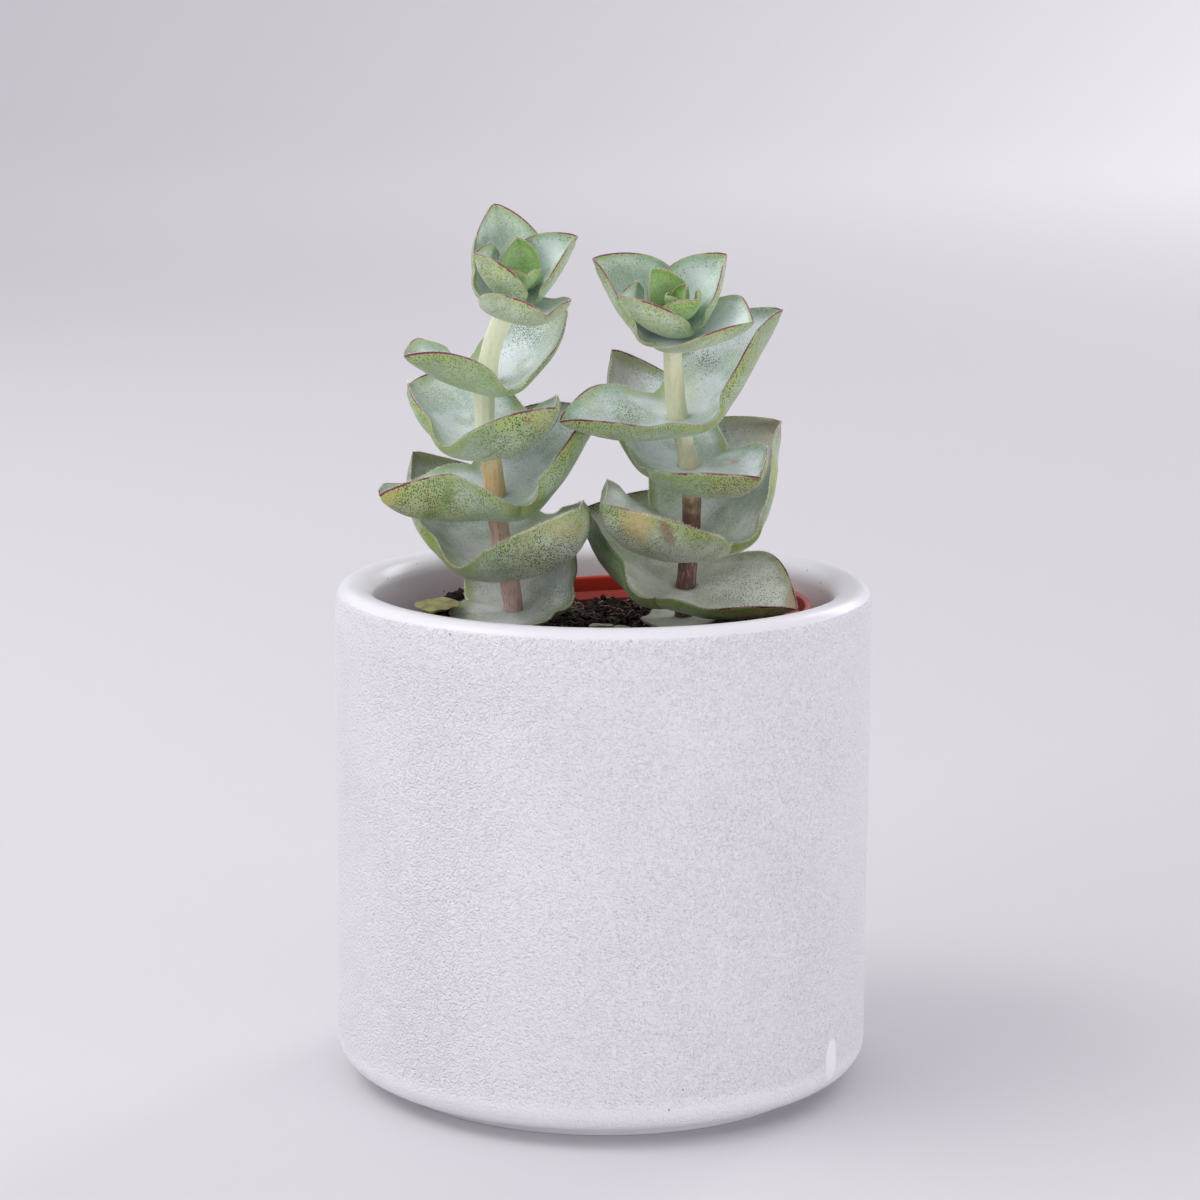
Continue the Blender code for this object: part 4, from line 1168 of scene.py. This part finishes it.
@dataclass
class PairBuilder:
    """Builds leaf pairs as fine skins with rounded, toothed edges.

    Args:
        sides: Columns round a pair.
        upper_rows: Rows over the upper side.
        lower_rows: Rows over the underside.
        edge: Thickness at the rim.
        wave: Height of the blade's unevenness.
        cilia_step: Distance from one edge hair to the next.
        cilia_length: Length of an edge hair.
    """

    sides: int = 160
    upper_rows: int = 18
    lower_rows: int = 12
    midline_steps: int = 160
    widest_at: float = 0.4
    shoulder_power: float = 0.6
    tip_power: float = 2.0
    tip_bluntness: float = 0.82
    neck_cup_share: float = 0.45
    edge: float = 0.22
    lift_ends_at: float = 0.3
    cup_ends_at: float = 0.32
    twist_ends_at: float = 0.6
    curl_power: float = 1.5
    row_power: float = 0.85
    rim_crowding: float = 0.45
    tip_thinning: float = 0.3
    fullness_power: float = 0.6
    wave: float = 0.12
    cilia_step: float = 0.3
    cilia_length: float = 0.42

    def half_width(self, share: np.ndarray, blade: Blade, neck: float) -> np.ndarray:
        """Half a blade's width at a share of its length."""
        rise = np.sin(0.5 * np.pi * np.clip(share / self.widest_at, 0.0, 1.0)) ** self.shoulder_power
        swell = neck + (blade.half_width - neck) * rise
        past = np.clip((share - self.widest_at) / (1.0 - self.widest_at), 0.0, 1.0)
        taper = blade.half_width * (1.0 - past ** self.tip_power) ** self.tip_bluntness
        return np.where(share < self.widest_at, swell, taper)

    def midline(self, pair: LeafPair, blade: Blade, way: float) -> tuple:
        """A blade's midrib as shares, points and directions."""
        along, across, up = (np.array(axis) for axis in pair.axes())
        share = np.linspace(0.0, 1.0, self.midline_steps)
        slope = np.radians(blade.lift) * ease(share / self.lift_ends_at)
        slope = slope + np.radians(blade.curl) * share ** self.curl_power
        swing = np.radians(blade.bend) * share
        heading = (np.cos(slope) * np.cos(swing))[:, None] * (way * along)
        heading += (np.cos(slope) * np.sin(swing))[:, None] * across + np.sin(slope)[:, None] * up
        step = blade.length / (self.midline_steps - 1)
        path = np.cumsum(0.5 * (heading[1:] + heading[:-1]) * step, axis=0)
        return share, np.array(pair.at) + np.concatenate([np.zeros((1, 3)), path]), heading

    def blade_skin(self, pair: LeafPair, blade: Blade, way: float, tipward: np.ndarray, outward: np.ndarray,
                   far_side: np.ndarray, growth: np.ndarray) -> tuple:
        """Upper and lower points of one blade.

        Args:
            pair: The pair.
            blade: The blade.
            way: 1 for the first blade and -1 for the second.
            tipward: 0 beside the stem and 1 along the midrib.
            outward: 0 at the hole and 1 at the rim.
            far_side: 1 or -1.
            growth: The stem's direction.

        Returns:
            Upper points, lower points, share of the length, and places along and across the blade.
        """
        up = np.array(pair.axes()[2])
        rim_share = tipward + self.rim_crowding * ((1.0 - np.cos(np.pi * tipward)) / 2.0 - tipward)
        rim_across = self.half_width(rim_share, blade, pair.neck)
        turn = tipward * np.pi / 2.0
        reach = pair.hole * np.sin(turn) + (rim_share * blade.length - pair.hole * np.sin(turn)) * outward
        across = pair.hole * np.cos(turn) + (rim_across - pair.hole * np.cos(turn)) * outward
        across = np.where(tipward > 0.999, 0.0, across)
        share = np.clip(reach / blade.length, 0.0, 1.0)
        width = np.maximum(self.half_width(share, blade, pair.neck), 0.001)
        side = np.clip(across / width, 0.0, 1.0)

        shares, points, headings = self.midline(pair, blade, way)
        spine = read_at(shares, points, share)
        heading = unit(read_at(shares, headings, share))
        lid = unit(up - heading * (heading @ up)[..., None])
        sideways = np.cross(lid, way * heading)
        twist = (np.radians(blade.twist) * ease(share / self.twist_ends_at))[..., None]
        sideways, lid = (sideways * np.cos(twist) + lid * np.sin(twist),
                         lid * np.cos(twist) - sideways * np.sin(twist))

        shared_cup = 0.5 * (pair.first.cup + pair.second.cup)
        own = ease(share / self.cup_ends_at)
        cup = np.radians(shared_cup + (blade.cup - shared_cup) * own)
        cup *= self.neck_cup_share + (1.0 - self.neck_cup_share) * own
        fold = np.radians(blade.fold) * share ** 2
        turned_up = fold + cup * side
        lateral = width * (np.sin(turned_up) - np.sin(fold)) / cup
        rise = width * (np.cos(fold) - np.cos(turned_up)) / cup
        upper = spine + sideways * (far_side * lateral)[..., None] + lid * rise[..., None]

        facing = fold * np.clip(4.0 * side, 0.0, 1.0) + cup * side
        normal = np.cos(facing)[..., None] * lid - (far_side * np.sin(facing))[..., None] * sideways
        near_hole = (1.0 - ease(outward / 0.5))[..., None]
        inward = unit(normal * (1.0 - near_hole) + growth * near_hole)
        fullness = (1.0 - outward ** 2) ** self.fullness_power * (1.0 - self.tip_thinning * share)
        thickness = self.edge + (pair.thickness - self.edge) * fullness
        a = way * reach
        b = far_side * across
        uneven = np.sin(0.55 * a + 0.5 * b + pair.turn) + 0.7 * np.sin(0.95 * b - 0.4 * a + pair.at[2])
        uneven += 0.6 * np.sin(1.3 * a + 0.8 * b) * outward
        upper = upper - inward * (self.wave * (0.6 + uneven * 0.35) * ease(outward / 0.35))[..., None]
        lower = upper - inward * thickness[..., None]
        return upper, lower, share, a, b

    def rings(self, pair: LeafPair, growth: Vector) -> tuple:
        """Rings over a pair's upper side, round its rim and back underneath, with what the shader reads."""
        place = np.arange(self.sides) / self.sides * 4.0
        quarter = np.floor(place).astype(int)
        part = place - quarter
        tipward = np.where(quarter % 2 == 0, 1.0 - part, part)
        of_first = (quarter == 0) | (quarter == 3)
        far = np.where(quarter < 2, 1.0, -1.0)
        grow = np.array(growth)

        def skin(rows: int) -> tuple:
            """Both sides' points for that many rows."""
            outward = (np.arange(rows + 1) / rows) ** self.row_power
            t, o = np.meshgrid(tipward, outward)
            f = np.broadcast_to(far, t.shape)
            first = self.blade_skin(pair, pair.first, 1.0, t, o, f, grow)
            second = self.blade_skin(pair, pair.second, -1.0, t, o, f, grow)
            choose = np.broadcast_to(of_first, t.shape)
            return tuple(np.where(choose[..., None] if a.ndim == 3 else choose, a, b)
                         for a, b in zip(first, second))

        upper, _, share_up, a_up, b_up = skin(self.upper_rows)
        _, lower, share_low, a_low, b_low = skin(self.lower_rows)
        middle = 0.5 * (upper[-1] + lower[-1])
        half = 0.5 * (upper[-1] - lower[-1])
        out = unit(upper[-1] - upper[-3])
        size = np.linalg.norm(half, axis=-1, keepdims=True)
        rim = []
        for angle in (0.0, 35.0, 70.0, 110.0, 145.0, 180.0):
            turn = math.radians(angle)
            rim.append(middle - out * size + half * math.cos(turn) + out * size * math.sin(turn))
        rim = np.array(rim)
        points = np.concatenate([upper[:-1], rim, lower[:-1][::-1]])
        edge_up = np.linalg.norm(upper[:-1] - upper[-1], axis=-1)
        edge_low = np.linalg.norm(lower[:-1] - lower[-1], axis=-1)
        flat = np.zeros(rim.shape[:2])
        under = np.full(points.shape[:2], Side.UPPER.value)
        under[len(edge_up) + 3:] = Side.LOWER.value
        facts = {
            "rim": np.concatenate([edge_up, flat, edge_low[::-1]]),
            "share": np.concatenate([share_up[:-1], flat + share_up[-1], share_low[:-1][::-1]]),
            "under": under,
        }
        along = np.concatenate([a_up[:-1], flat + a_up[-1], a_low[:-1][::-1]])
        over = np.concatenate([b_up[:-1], flat + b_up[-1], b_low[:-1][::-1]])
        facts["skin"] = np.stack([along, over, LOWER * under], axis=-1)
        return points, facts, rim[2], out

    def cilia(self, name: str, edges: list, material: bpy.types.Material, slot: Slot, seed: int) -> None:
        """Short pale hairs along the rims."""
        random = np.random.default_rng(seed)
        comb = bmesh.new()
        for line, out in edges:
            steps = np.linalg.norm(np.roll(line, -1, axis=0) - line, axis=-1)
            places = np.concatenate([[0.0], np.cumsum(steps)])
            around = np.concatenate([line, line[:1]])
            ways = np.concatenate([out, out[:1]])
            for spot in np.arange(0.0, places[-1], self.cilia_step):
                spot += random.uniform(-0.12, 0.12)
                base = Vector(float(np.interp(spot, places, around[:, axis])) for axis in range(3))
                way = Vector(float(np.interp(spot, places, ways[:, axis])) for axis in range(3))
                way = (way.normalized() + Vector(random.uniform(-0.3, 0.3, 3))).normalized()
                length = self.cilia_length * random.uniform(0.5, 1.15)
                turn = way.to_track_quat("Z", "Y").to_matrix().to_4x4()
                middle = (base - way * 0.12 + way * 0.5 * length) * MM
                bmesh.ops.create_cone(comb, cap_ends=True, segments=3, radius1=0.055 * MM, radius2=0.012 * MM,
                                      depth=length * MM, matrix=Matrix.Translation(middle) @ turn)
        for vert in comb.verts:
            vert.co.z = min(vert.co.z, SOLID_BOX[1][2])
        show(name, finished(name, comb), material, slot)

    def build(self, name: str, pairs: tuple, growths: tuple, finishes: tuple, slot: Slot, node: str,
              palette: Palette, marks: tuple = (), seed: int = 1) -> None:
        """Builds the pairs of one solid as one piece.

        Args:
            name: Name of the piece.
            pairs: Its pairs.
            growths: The stem's direction at each pair.
            finishes: Each pair's skin.
            slot: The record's slot.
            node: The solid that the piece stands for.
            palette: Where materials come from.
            marks: Coloured spots on the leaves.
            seed: Seed of the edge hairs.
        """
        joined = bmesh.new()
        edges = []
        materials = []
        for index, (pair, growth, finish) in enumerate(zip(pairs, growths, finishes)):
            points, facts, line, out = self.rings(pair, growth)
            mesh = skin_mesh(name, points, facts, ring_shaped=True)
            if finish not in [known for known, _ in materials]:
                label = f"{name}_skin_{len(materials) + 1}"
                materials.append((finish, palette.leaf(label, finish, marks)))
            order = [known for known, _ in materials].index(finish)
            for polygon in mesh.polygons:
                polygon.material_index = order
            joined.from_mesh(mesh)
            bpy.data.meshes.remove(mesh)
            edges.append((line, out))
        mesh = finished(name, joined)
        for _, material in materials:
            mesh.materials.append(material)
        show(name, mesh, materials[0][1], slot, node)
        hair = bpy.data.materials.get("edge_hair")
        hair = hair or palette.hair("edge_hair", srgb(244, 244, 238), srgb(222, 206, 206))
        self.cilia(name + "_hairs", edges, hair, slot, seed)


@dataclass
class LooseLeaf:
    """A fallen leaf that lies where its solid lies.

    Args:
        node: The solid.
        turn: Way of its length, from +X.
        length: Its length.
        half_width: Half its width.
        tint: Its main colour.
        tip_tint: The colour of its browned patches.
        curl: Height of the waves along it.
    """

    node: str
    turn: float
    length: float
    half_width: float
    tint: tuple
    tip_tint: tuple
    curl: float = 0.25
    rows: int = 28
    sides: int = 36

    def build(self, palette: Palette) -> None:
        """Shapes the leaf in its solid's box and dresses it."""
        low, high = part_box(self.node)
        low, high = low / MM, high / MM
        middle = 0.5 * (low + high)
        turn = math.radians(self.turn)
        along = Vector((math.cos(turn), math.sin(turn), 0.0))
        across = Vector((-math.sin(turn), math.cos(turn), 0.0))
        depth = 0.3 * (high.z - low.z)
        rows = []
        for row in range(self.rows + 1):
            share = row / self.rows
            width = self.half_width * math.sin(math.pi * min(max(share, 0.004), 0.996)) ** 0.7
            centre = middle + along * (share - 0.5) * self.length
            ring = []
            for side in range(self.sides):
                angle = math.tau * side / self.sides
                out = math.cos(angle)
                point = centre + across * width * out
                ripple = 0.3 * self.curl * math.sin(2.1 * point.x + 1.3 * point.y)
                cup = self.curl * (out * out - 0.4) + ripple
                body = depth * math.sin(angle) * (0.4 + 0.6 * (1.0 - out * out)) * min(1.0, 6.0 * width)
                point.z += body + cup
                point.z = min(max(point.z, low.z), high.z)
                ring.append(point)
            rows.append(ring)
        name = self.node + "_skin"
        material = palette.loose_leaf(name, self.tint, self.tip_tint)
        show(name, skin_mesh(name, np.array(rows)), material, Slot.DRY_LEAF, self.node)


@dataclass
class Studio:
    """Camera, light and floor."""

    eye: tuple = (0.0, -455.6, 151.9)
    pitch: float = 0.1834
    roll: float = 0.006
    yaw: float = -0.0011
    lens: float = 99.36
    sensor: float = 36.0
    floor_radius: float = 2.6
    floor_step: float = 0.05
    sweep: float = 2.0
    floor_colour: tuple = srgb(219, 216, 220)
    sky_colour: tuple = srgb(241, 239, 246)
    sky_strength: float = 0.73

    def camera(self) -> None:
        """Places the camera where the photo was taken from."""
        level = math.cos(self.pitch)
        forward = Vector((math.sin(self.yaw) * level, math.cos(self.yaw) * level, -math.sin(self.pitch)))
        right = Vector((math.cos(self.yaw), -math.sin(self.yaw), 0.0))
        up = right.cross(forward)
        across = math.cos(self.roll) * right + math.sin(self.roll) * up
        upward = math.cos(self.roll) * up - math.sin(self.roll) * right
        data = bpy.data.cameras.new("photo_camera")
        data.lens = self.lens
        data.sensor_width = self.sensor
        data.clip_start = 0.01
        data.clip_end = 20.0
        camera = bpy.data.objects.new("photo_camera", data)
        turn = Matrix((across, upward, -forward)).transposed().to_4x4()
        camera.matrix_world = Matrix.Translation(Vector(self.eye) * MM) @ turn
        bpy.context.scene.collection.objects.link(camera)
        bpy.context.scene.camera = camera

    def lamp(self, name: str, place: tuple, size: tuple, watts: float, colour: tuple,
             target: tuple = (0.0, 0.0, 0.07)) -> None:
        """A soft area lamp that faces the plant, or another target."""
        data = bpy.data.lights.new(name, "AREA")
        data.shape = "RECTANGLE"
        data.size = size[0]
        data.size_y = size[1]
        data.energy = watts
        data.color = colour
        lamp = bpy.data.objects.new(name, data)
        lamp.location = place
        lamp.rotation_euler = (Vector(target) - Vector(place)).to_track_quat("-Z", "Y").to_euler()
        bpy.context.scene.collection.objects.link(lamp)

    def backdrop(self, palette: Palette) -> None:
        """A pale floor whose edge sweeps up all round."""
        flat_steps = round(self.floor_radius / self.floor_step)
        outline = [(self.floor_step * step, 0.0) for step in range(1, flat_steps)]
        for step in range(1, 13):
            angle = math.radians(7.5 * step)
            reach = self.floor_radius + self.sweep * math.sin(angle)
            outline.append((reach, self.sweep * (1.0 - math.cos(angle))))
        floor = bmesh.new()
        bmesh.ops.create_circle(floor, cap_ends=True, segments=96, radius=outline[0][0])
        ring = [edge for edge in floor.edges if edge.is_boundary]
        for (radius, height), (before, low) in zip(outline[1:], outline):
            made = bmesh.ops.extrude_edge_only(floor, edges=ring)["geom"]
            ring = [part for part in made if isinstance(part, bmesh.types.BMEdge)]
            for vert in {vert for edge in ring for vert in edge.verts}:
                vert.co = Vector((vert.co.x * radius / before, vert.co.y * radius / before, height))
        bmesh.ops.recalc_face_normals(floor, faces=floor.faces)
        mesh = finished("floor", floor)
        mesh.shade_smooth()
        mesh.materials.append(palette.plain("floor", self.floor_colour, 0.85))
        ground = bpy.data.objects.new("floor", mesh)
        bpy.context.scene.collection.objects.link(ground)

    def build(self, palette: Palette) -> None:
        """Sets the camera, the lamps, the sky and the floor."""
        self.camera()
        self.lamp("top", (-0.6, -0.1, 0.8), (0.5, 0.5), 3.0, (1.0, 0.995, 0.99))
        self.lamp("key", (-0.7, -0.65, 0.36), (0.5, 0.5), 2.6, (1.0, 0.99, 0.99))
        self.lamp("fill", (0.85, -0.6, 0.08), (0.5, 0.13), 3.3, (1.0, 0.99, 1.0))
        self.lamp("back", (-0.55, 0.6, 0.6), (0.8, 0.6), 0.9, (1.0, 1.0, 1.0))
        self.lamp("wall", (1.7, 2.2, 1.2), (1.4, 1.4), 30.0, (1.0, 1.0, 1.0), (0.9, 2.4, 0.0))
        world = bpy.data.worlds.new("studio")
        world.use_nodes = True
        sky = world.node_tree.nodes["Background"]
        sky.inputs["Color"].default_value = self.sky_colour
        sky.inputs["Strength"].default_value = self.sky_strength
        bpy.context.scene.world = world
        self.backdrop(palette)
        bpy.context.scene.view_settings.view_transform = "Standard"
        bpy.context.scene.view_settings.look = "None"


MARKS = {
    "left_pair_1": (
        Mark((-2.7, 5.9, UPPER), (1.6, 1.3, SPAN), srgb(176, 182, 104), 0.5),
        Mark((2.0, -6.0, UPPER), (5.0, 3.0, SPAN), srgb(74, 108, 66), 0.8, dotted=True),
    ),
    "left_pair_2": (
        Mark((-13.0, 4.0, LOWER), (8.0, 8.0, SPAN), srgb(40, 58, 34), 0.95, dotted=True),
        Mark((-19.2, 2.4, LOWER), (2.6, 4.2, SPAN), srgb(174, 172, 104), 0.5),
        Mark((-16.0, 6.5, LOWER), (4.0, 1.6, SPAN), srgb(170, 166, 112), 0.36),
        Mark((7.1, 8.6, LOWER), (2.4, 2.2, SPAN), srgb(138, 164, 44), 0.65),
        Mark((21.0, 0.0, UPPER), (5.0, 10.0, BOTH), srgb(146, 144, 118), 0.5),
        Mark((19.0, 3.0, UPPER), (1.0, 0.8, BOTH), srgb(66, 56, 48), 0.65),
    ),
    "left_pair_3": (
        Mark((-14.0, -2.5, LOWER), (7.5, 7.0, SPAN), srgb(160, 170, 104), 0.5),
        Mark((-13.5, -2.5, LOWER), (6.5, 6.5, SPAN), srgb(50, 76, 34), 0.95, dotted=True),
        Mark((-10.4, -5.5, LOWER), (1.2, 2.2, SPAN), srgb(98, 132, 48), 0.58),
        Mark((-11.2, -1.5, LOWER), (0.9, 1.6, SPAN), srgb(92, 124, 44), 0.58),
        Mark((-18.2, -1.0, LOWER), (2.2, 2.6, 6.0), srgb(190, 178, 96), 0.61),
        Mark((-18.9, -1.2, LOWER), (0.9, 0.9, BOTH), srgb(186, 78, 48), 1.0),
    ),
    "left_pair_4": (
        Mark((-11.0, 3.0, LOWER), (6.0, 6.0, SPAN), srgb(56, 82, 44), 0.85, dotted=True),
        Mark((-14.6, 1.4, LOWER), (2.6, 1.8, SPAN), srgb(184, 180, 104), 0.43),
        Mark((-13.6, 2.8, LOWER), (0.4, 0.4, SPAN), srgb(178, 84, 70), 0.58),
        Mark((10.0, 5.5, UPPER), (6.0, 2.6, SPAN), srgb(136, 172, 104), 0.43),
    ),
    "left_pair_5": (
        Mark((10.4, 2.7, UPPER), (4.0, 3.0, SPAN), srgb(60, 90, 66), 0.85, dotted=True),
        Mark((-5.0, -3.0, LOWER), (5.0, 6.0, SPAN), srgb(150, 182, 118), 0.36),
    ),
    "right_pair_1": (
        Mark((0.0, 0.0, UPPER), (14.0, 9.0, SPAN), srgb(186, 192, 168), 0.36),
    ),
    "right_pair_2": (
        Mark((11.0, 0.0, LOWER), (12.0, 14.0, SPAN), srgb(84, 104, 74), 0.61),
        Mark((-8.0, -2.0, UPPER), (9.0, 6.5, SPAN), srgb(206, 208, 198), 0.36),
        Mark((-16.8, -1.5, UPPER), (1.3, 5.0, SPAN), srgb(192, 130, 124), 0.43),
        Mark((-8.0, -1.0, UPPER), (9.0, 6.0, SPAN), srgb(86, 104, 70), 0.8, dotted=True),
    ),
    "right_pair_3": (
        Mark((-8.0, -1.0, UPPER), (12.0, 9.0, SPAN), srgb(188, 184, 152), 0.4),
        Mark((-17.6, -4.0, LOWER), (3.6, 2.4, SPAN), srgb(200, 172, 112), 0.58),
        Mark((-14.6, -7.2, LOWER), (3.0, 1.0, SPAN), srgb(128, 58, 52), 0.5),
        Mark((19.0, 2.0, UPPER), (3.6, 7.0, BOTH), srgb(178, 166, 138), 0.54),
        Mark((20.2, -2.0, UPPER), (1.6, 3.6, BOTH), srgb(142, 92, 80), 0.5),
        Mark((8.0, 9.0, UPPER), (7.0, 4.0, SPAN), srgb(146, 180, 92), 0.43),
        Mark((14.0, -9.5, LOWER), (5.0, 3.0, SPAN), srgb(172, 184, 84), 0.5),
    ),
    "right_pair_4": (
        Mark((20.0, 0.0, UPPER), (5.0, 9.0, BOTH), srgb(160, 152, 124), 0.58),
        Mark((-5.0, -3.0, UPPER), (6.0, 2.4, SPAN), srgb(128, 132, 104), 0.32),
        Mark((-5.0, -4.7, UPPER), (0.8, 0.6, SPAN), srgb(212, 146, 116), 0.58),
        Mark((-17.0, 2.0, LOWER), (5.0, 5.5, SPAN), srgb(148, 148, 84), 0.5),
        Mark((-16.0, 2.5, LOWER), (5.5, 5.5, SPAN), srgb(70, 80, 36), 0.95, dotted=True),
        Mark((-19.0, 0.5, LOWER), (0.7, 0.9, SPAN), srgb(84, 64, 40), 0.65),
    ),
    "right_pair_5": (
        Mark((9.4, 4.4, UPPER), (2.0, 2.0, SPAN), srgb(146, 164, 152), 0.29),
        Mark((9.4, 4.4, UPPER), (2.0, 2.0, SPAN), srgb(70, 92, 68), 1.0, dotted=True),
        Mark((-6.5, 3.0, UPPER), (3.4, 2.6, SPAN), srgb(66, 94, 62), 0.85, dotted=True),
        Mark((3.0, 4.5, UPPER), (4.5, 3.0, SPAN), srgb(180, 192, 118), 0.36),
        Mark((14.0, -3.0, LOWER), (7.0, 6.0, SPAN), srgb(158, 168, 136), 0.36),
    ),
}
LEFT_STEM_FINISH = StemFinish(
    foot=srgb(208, 176, 168), low=srgb(212, 176, 160), middle=srgb(222, 190, 140), top=srgb(228, 232, 200),
    foot_ends=70.0, low_ends=80.0, middle_ends=88.0)
RIGHT_STEM_FINISH = StemFinish(
    foot=srgb(100, 66, 60), low=srgb(108, 76, 62), middle=srgb(202, 180, 146), top=srgb(220, 220, 186),
    foot_ends=72.0, low_ends=82.0, middle_ends=86.0)


def main() -> None:
    """Builds the looks in order."""
    logging.basicConfig(level=logging.INFO, format="%(message)s")
    palette = Palette()
    Studio().build(palette)
    CoverPot(PotFinish()).build(palette)
    liner = Liner(LinerFinish())
    liner.build(palette)
    Soil(SoilFinish(), liner).build(palette)
    StemBuilder("left_stem_skin", "stem_left", LEFT_STEM, LEFT_STEM_FINISH, (74.2, 82.6, 90.7, 98.6),
                LEFT_YOUNG_PAIRS[0]).build(palette)
    StemBuilder("right_stem_skin", "stem_right", RIGHT_STEM, RIGHT_STEM_FINISH, (68.8, 76.8, 86.8, 93.8),
                RIGHT_YOUNG_PAIRS[0]).build(palette)
    builder = PairBuilder()
    left_skins = (OLD_SKIN, OLD_SKIN, LEAF_SKIN, LEAF_SKIN, LEAF_SKIN)
    right_skins = (WORN_SKIN, WORN_SKIN, OLD_SKIN, LEAF_SKIN, LEAF_SKIN)
    for pairs, stem, skins in ((LEFT_PAIRS, LEFT_STEM, left_skins), (RIGHT_PAIRS, RIGHT_STEM, right_skins)):
        for order, (name, pair) in enumerate(pairs.items()):
            slot = Slot.OLD_LEAF if order < 3 else Slot.LEAF
            growth = stem.direction(pair.at[2])
            builder.build(name + "_skin", (pair,), (growth,), (skins[order],), slot, name, palette,
                          MARKS[name], seed=20 + order)
    young = PairBuilder(sides=120, upper_rows=14, lower_rows=9, edge=0.18, wave=0.07, cilia_length=0.26)
    for name, pairs, node in (("left_rosette_skin", LEFT_YOUNG_PAIRS, "left_rosette"),
                              ("right_rosette_skin", RIGHT_YOUNG_PAIRS, "right_rosette")):
        growths = tuple(pair.axes()[2] for pair in pairs)
        finishes = (YOUNG_SKIN, YOUNG_SKIN) + (HEART_SKIN,) * (len(pairs) - 2)
        young.build(name, pairs, growths, finishes, Slot.YOUNG_LEAF, node, palette, seed=40)
    LooseLeaf("old_leaf", 84.0, 10.4, 3.2, srgb(150, 150, 86), srgb(120, 108, 66)).build(palette)
    LooseLeaf("dry_leaf_front", 6.0, 3.4, 1.1, srgb(178, 178, 150), srgb(140, 132, 104)).build(palette)
    LooseLeaf("dry_leaf_side", -12.0, 2.6, 0.9, srgb(182, 180, 156), srgb(146, 136, 110)).build(palette)


if __name__ == "__main__":
    main()
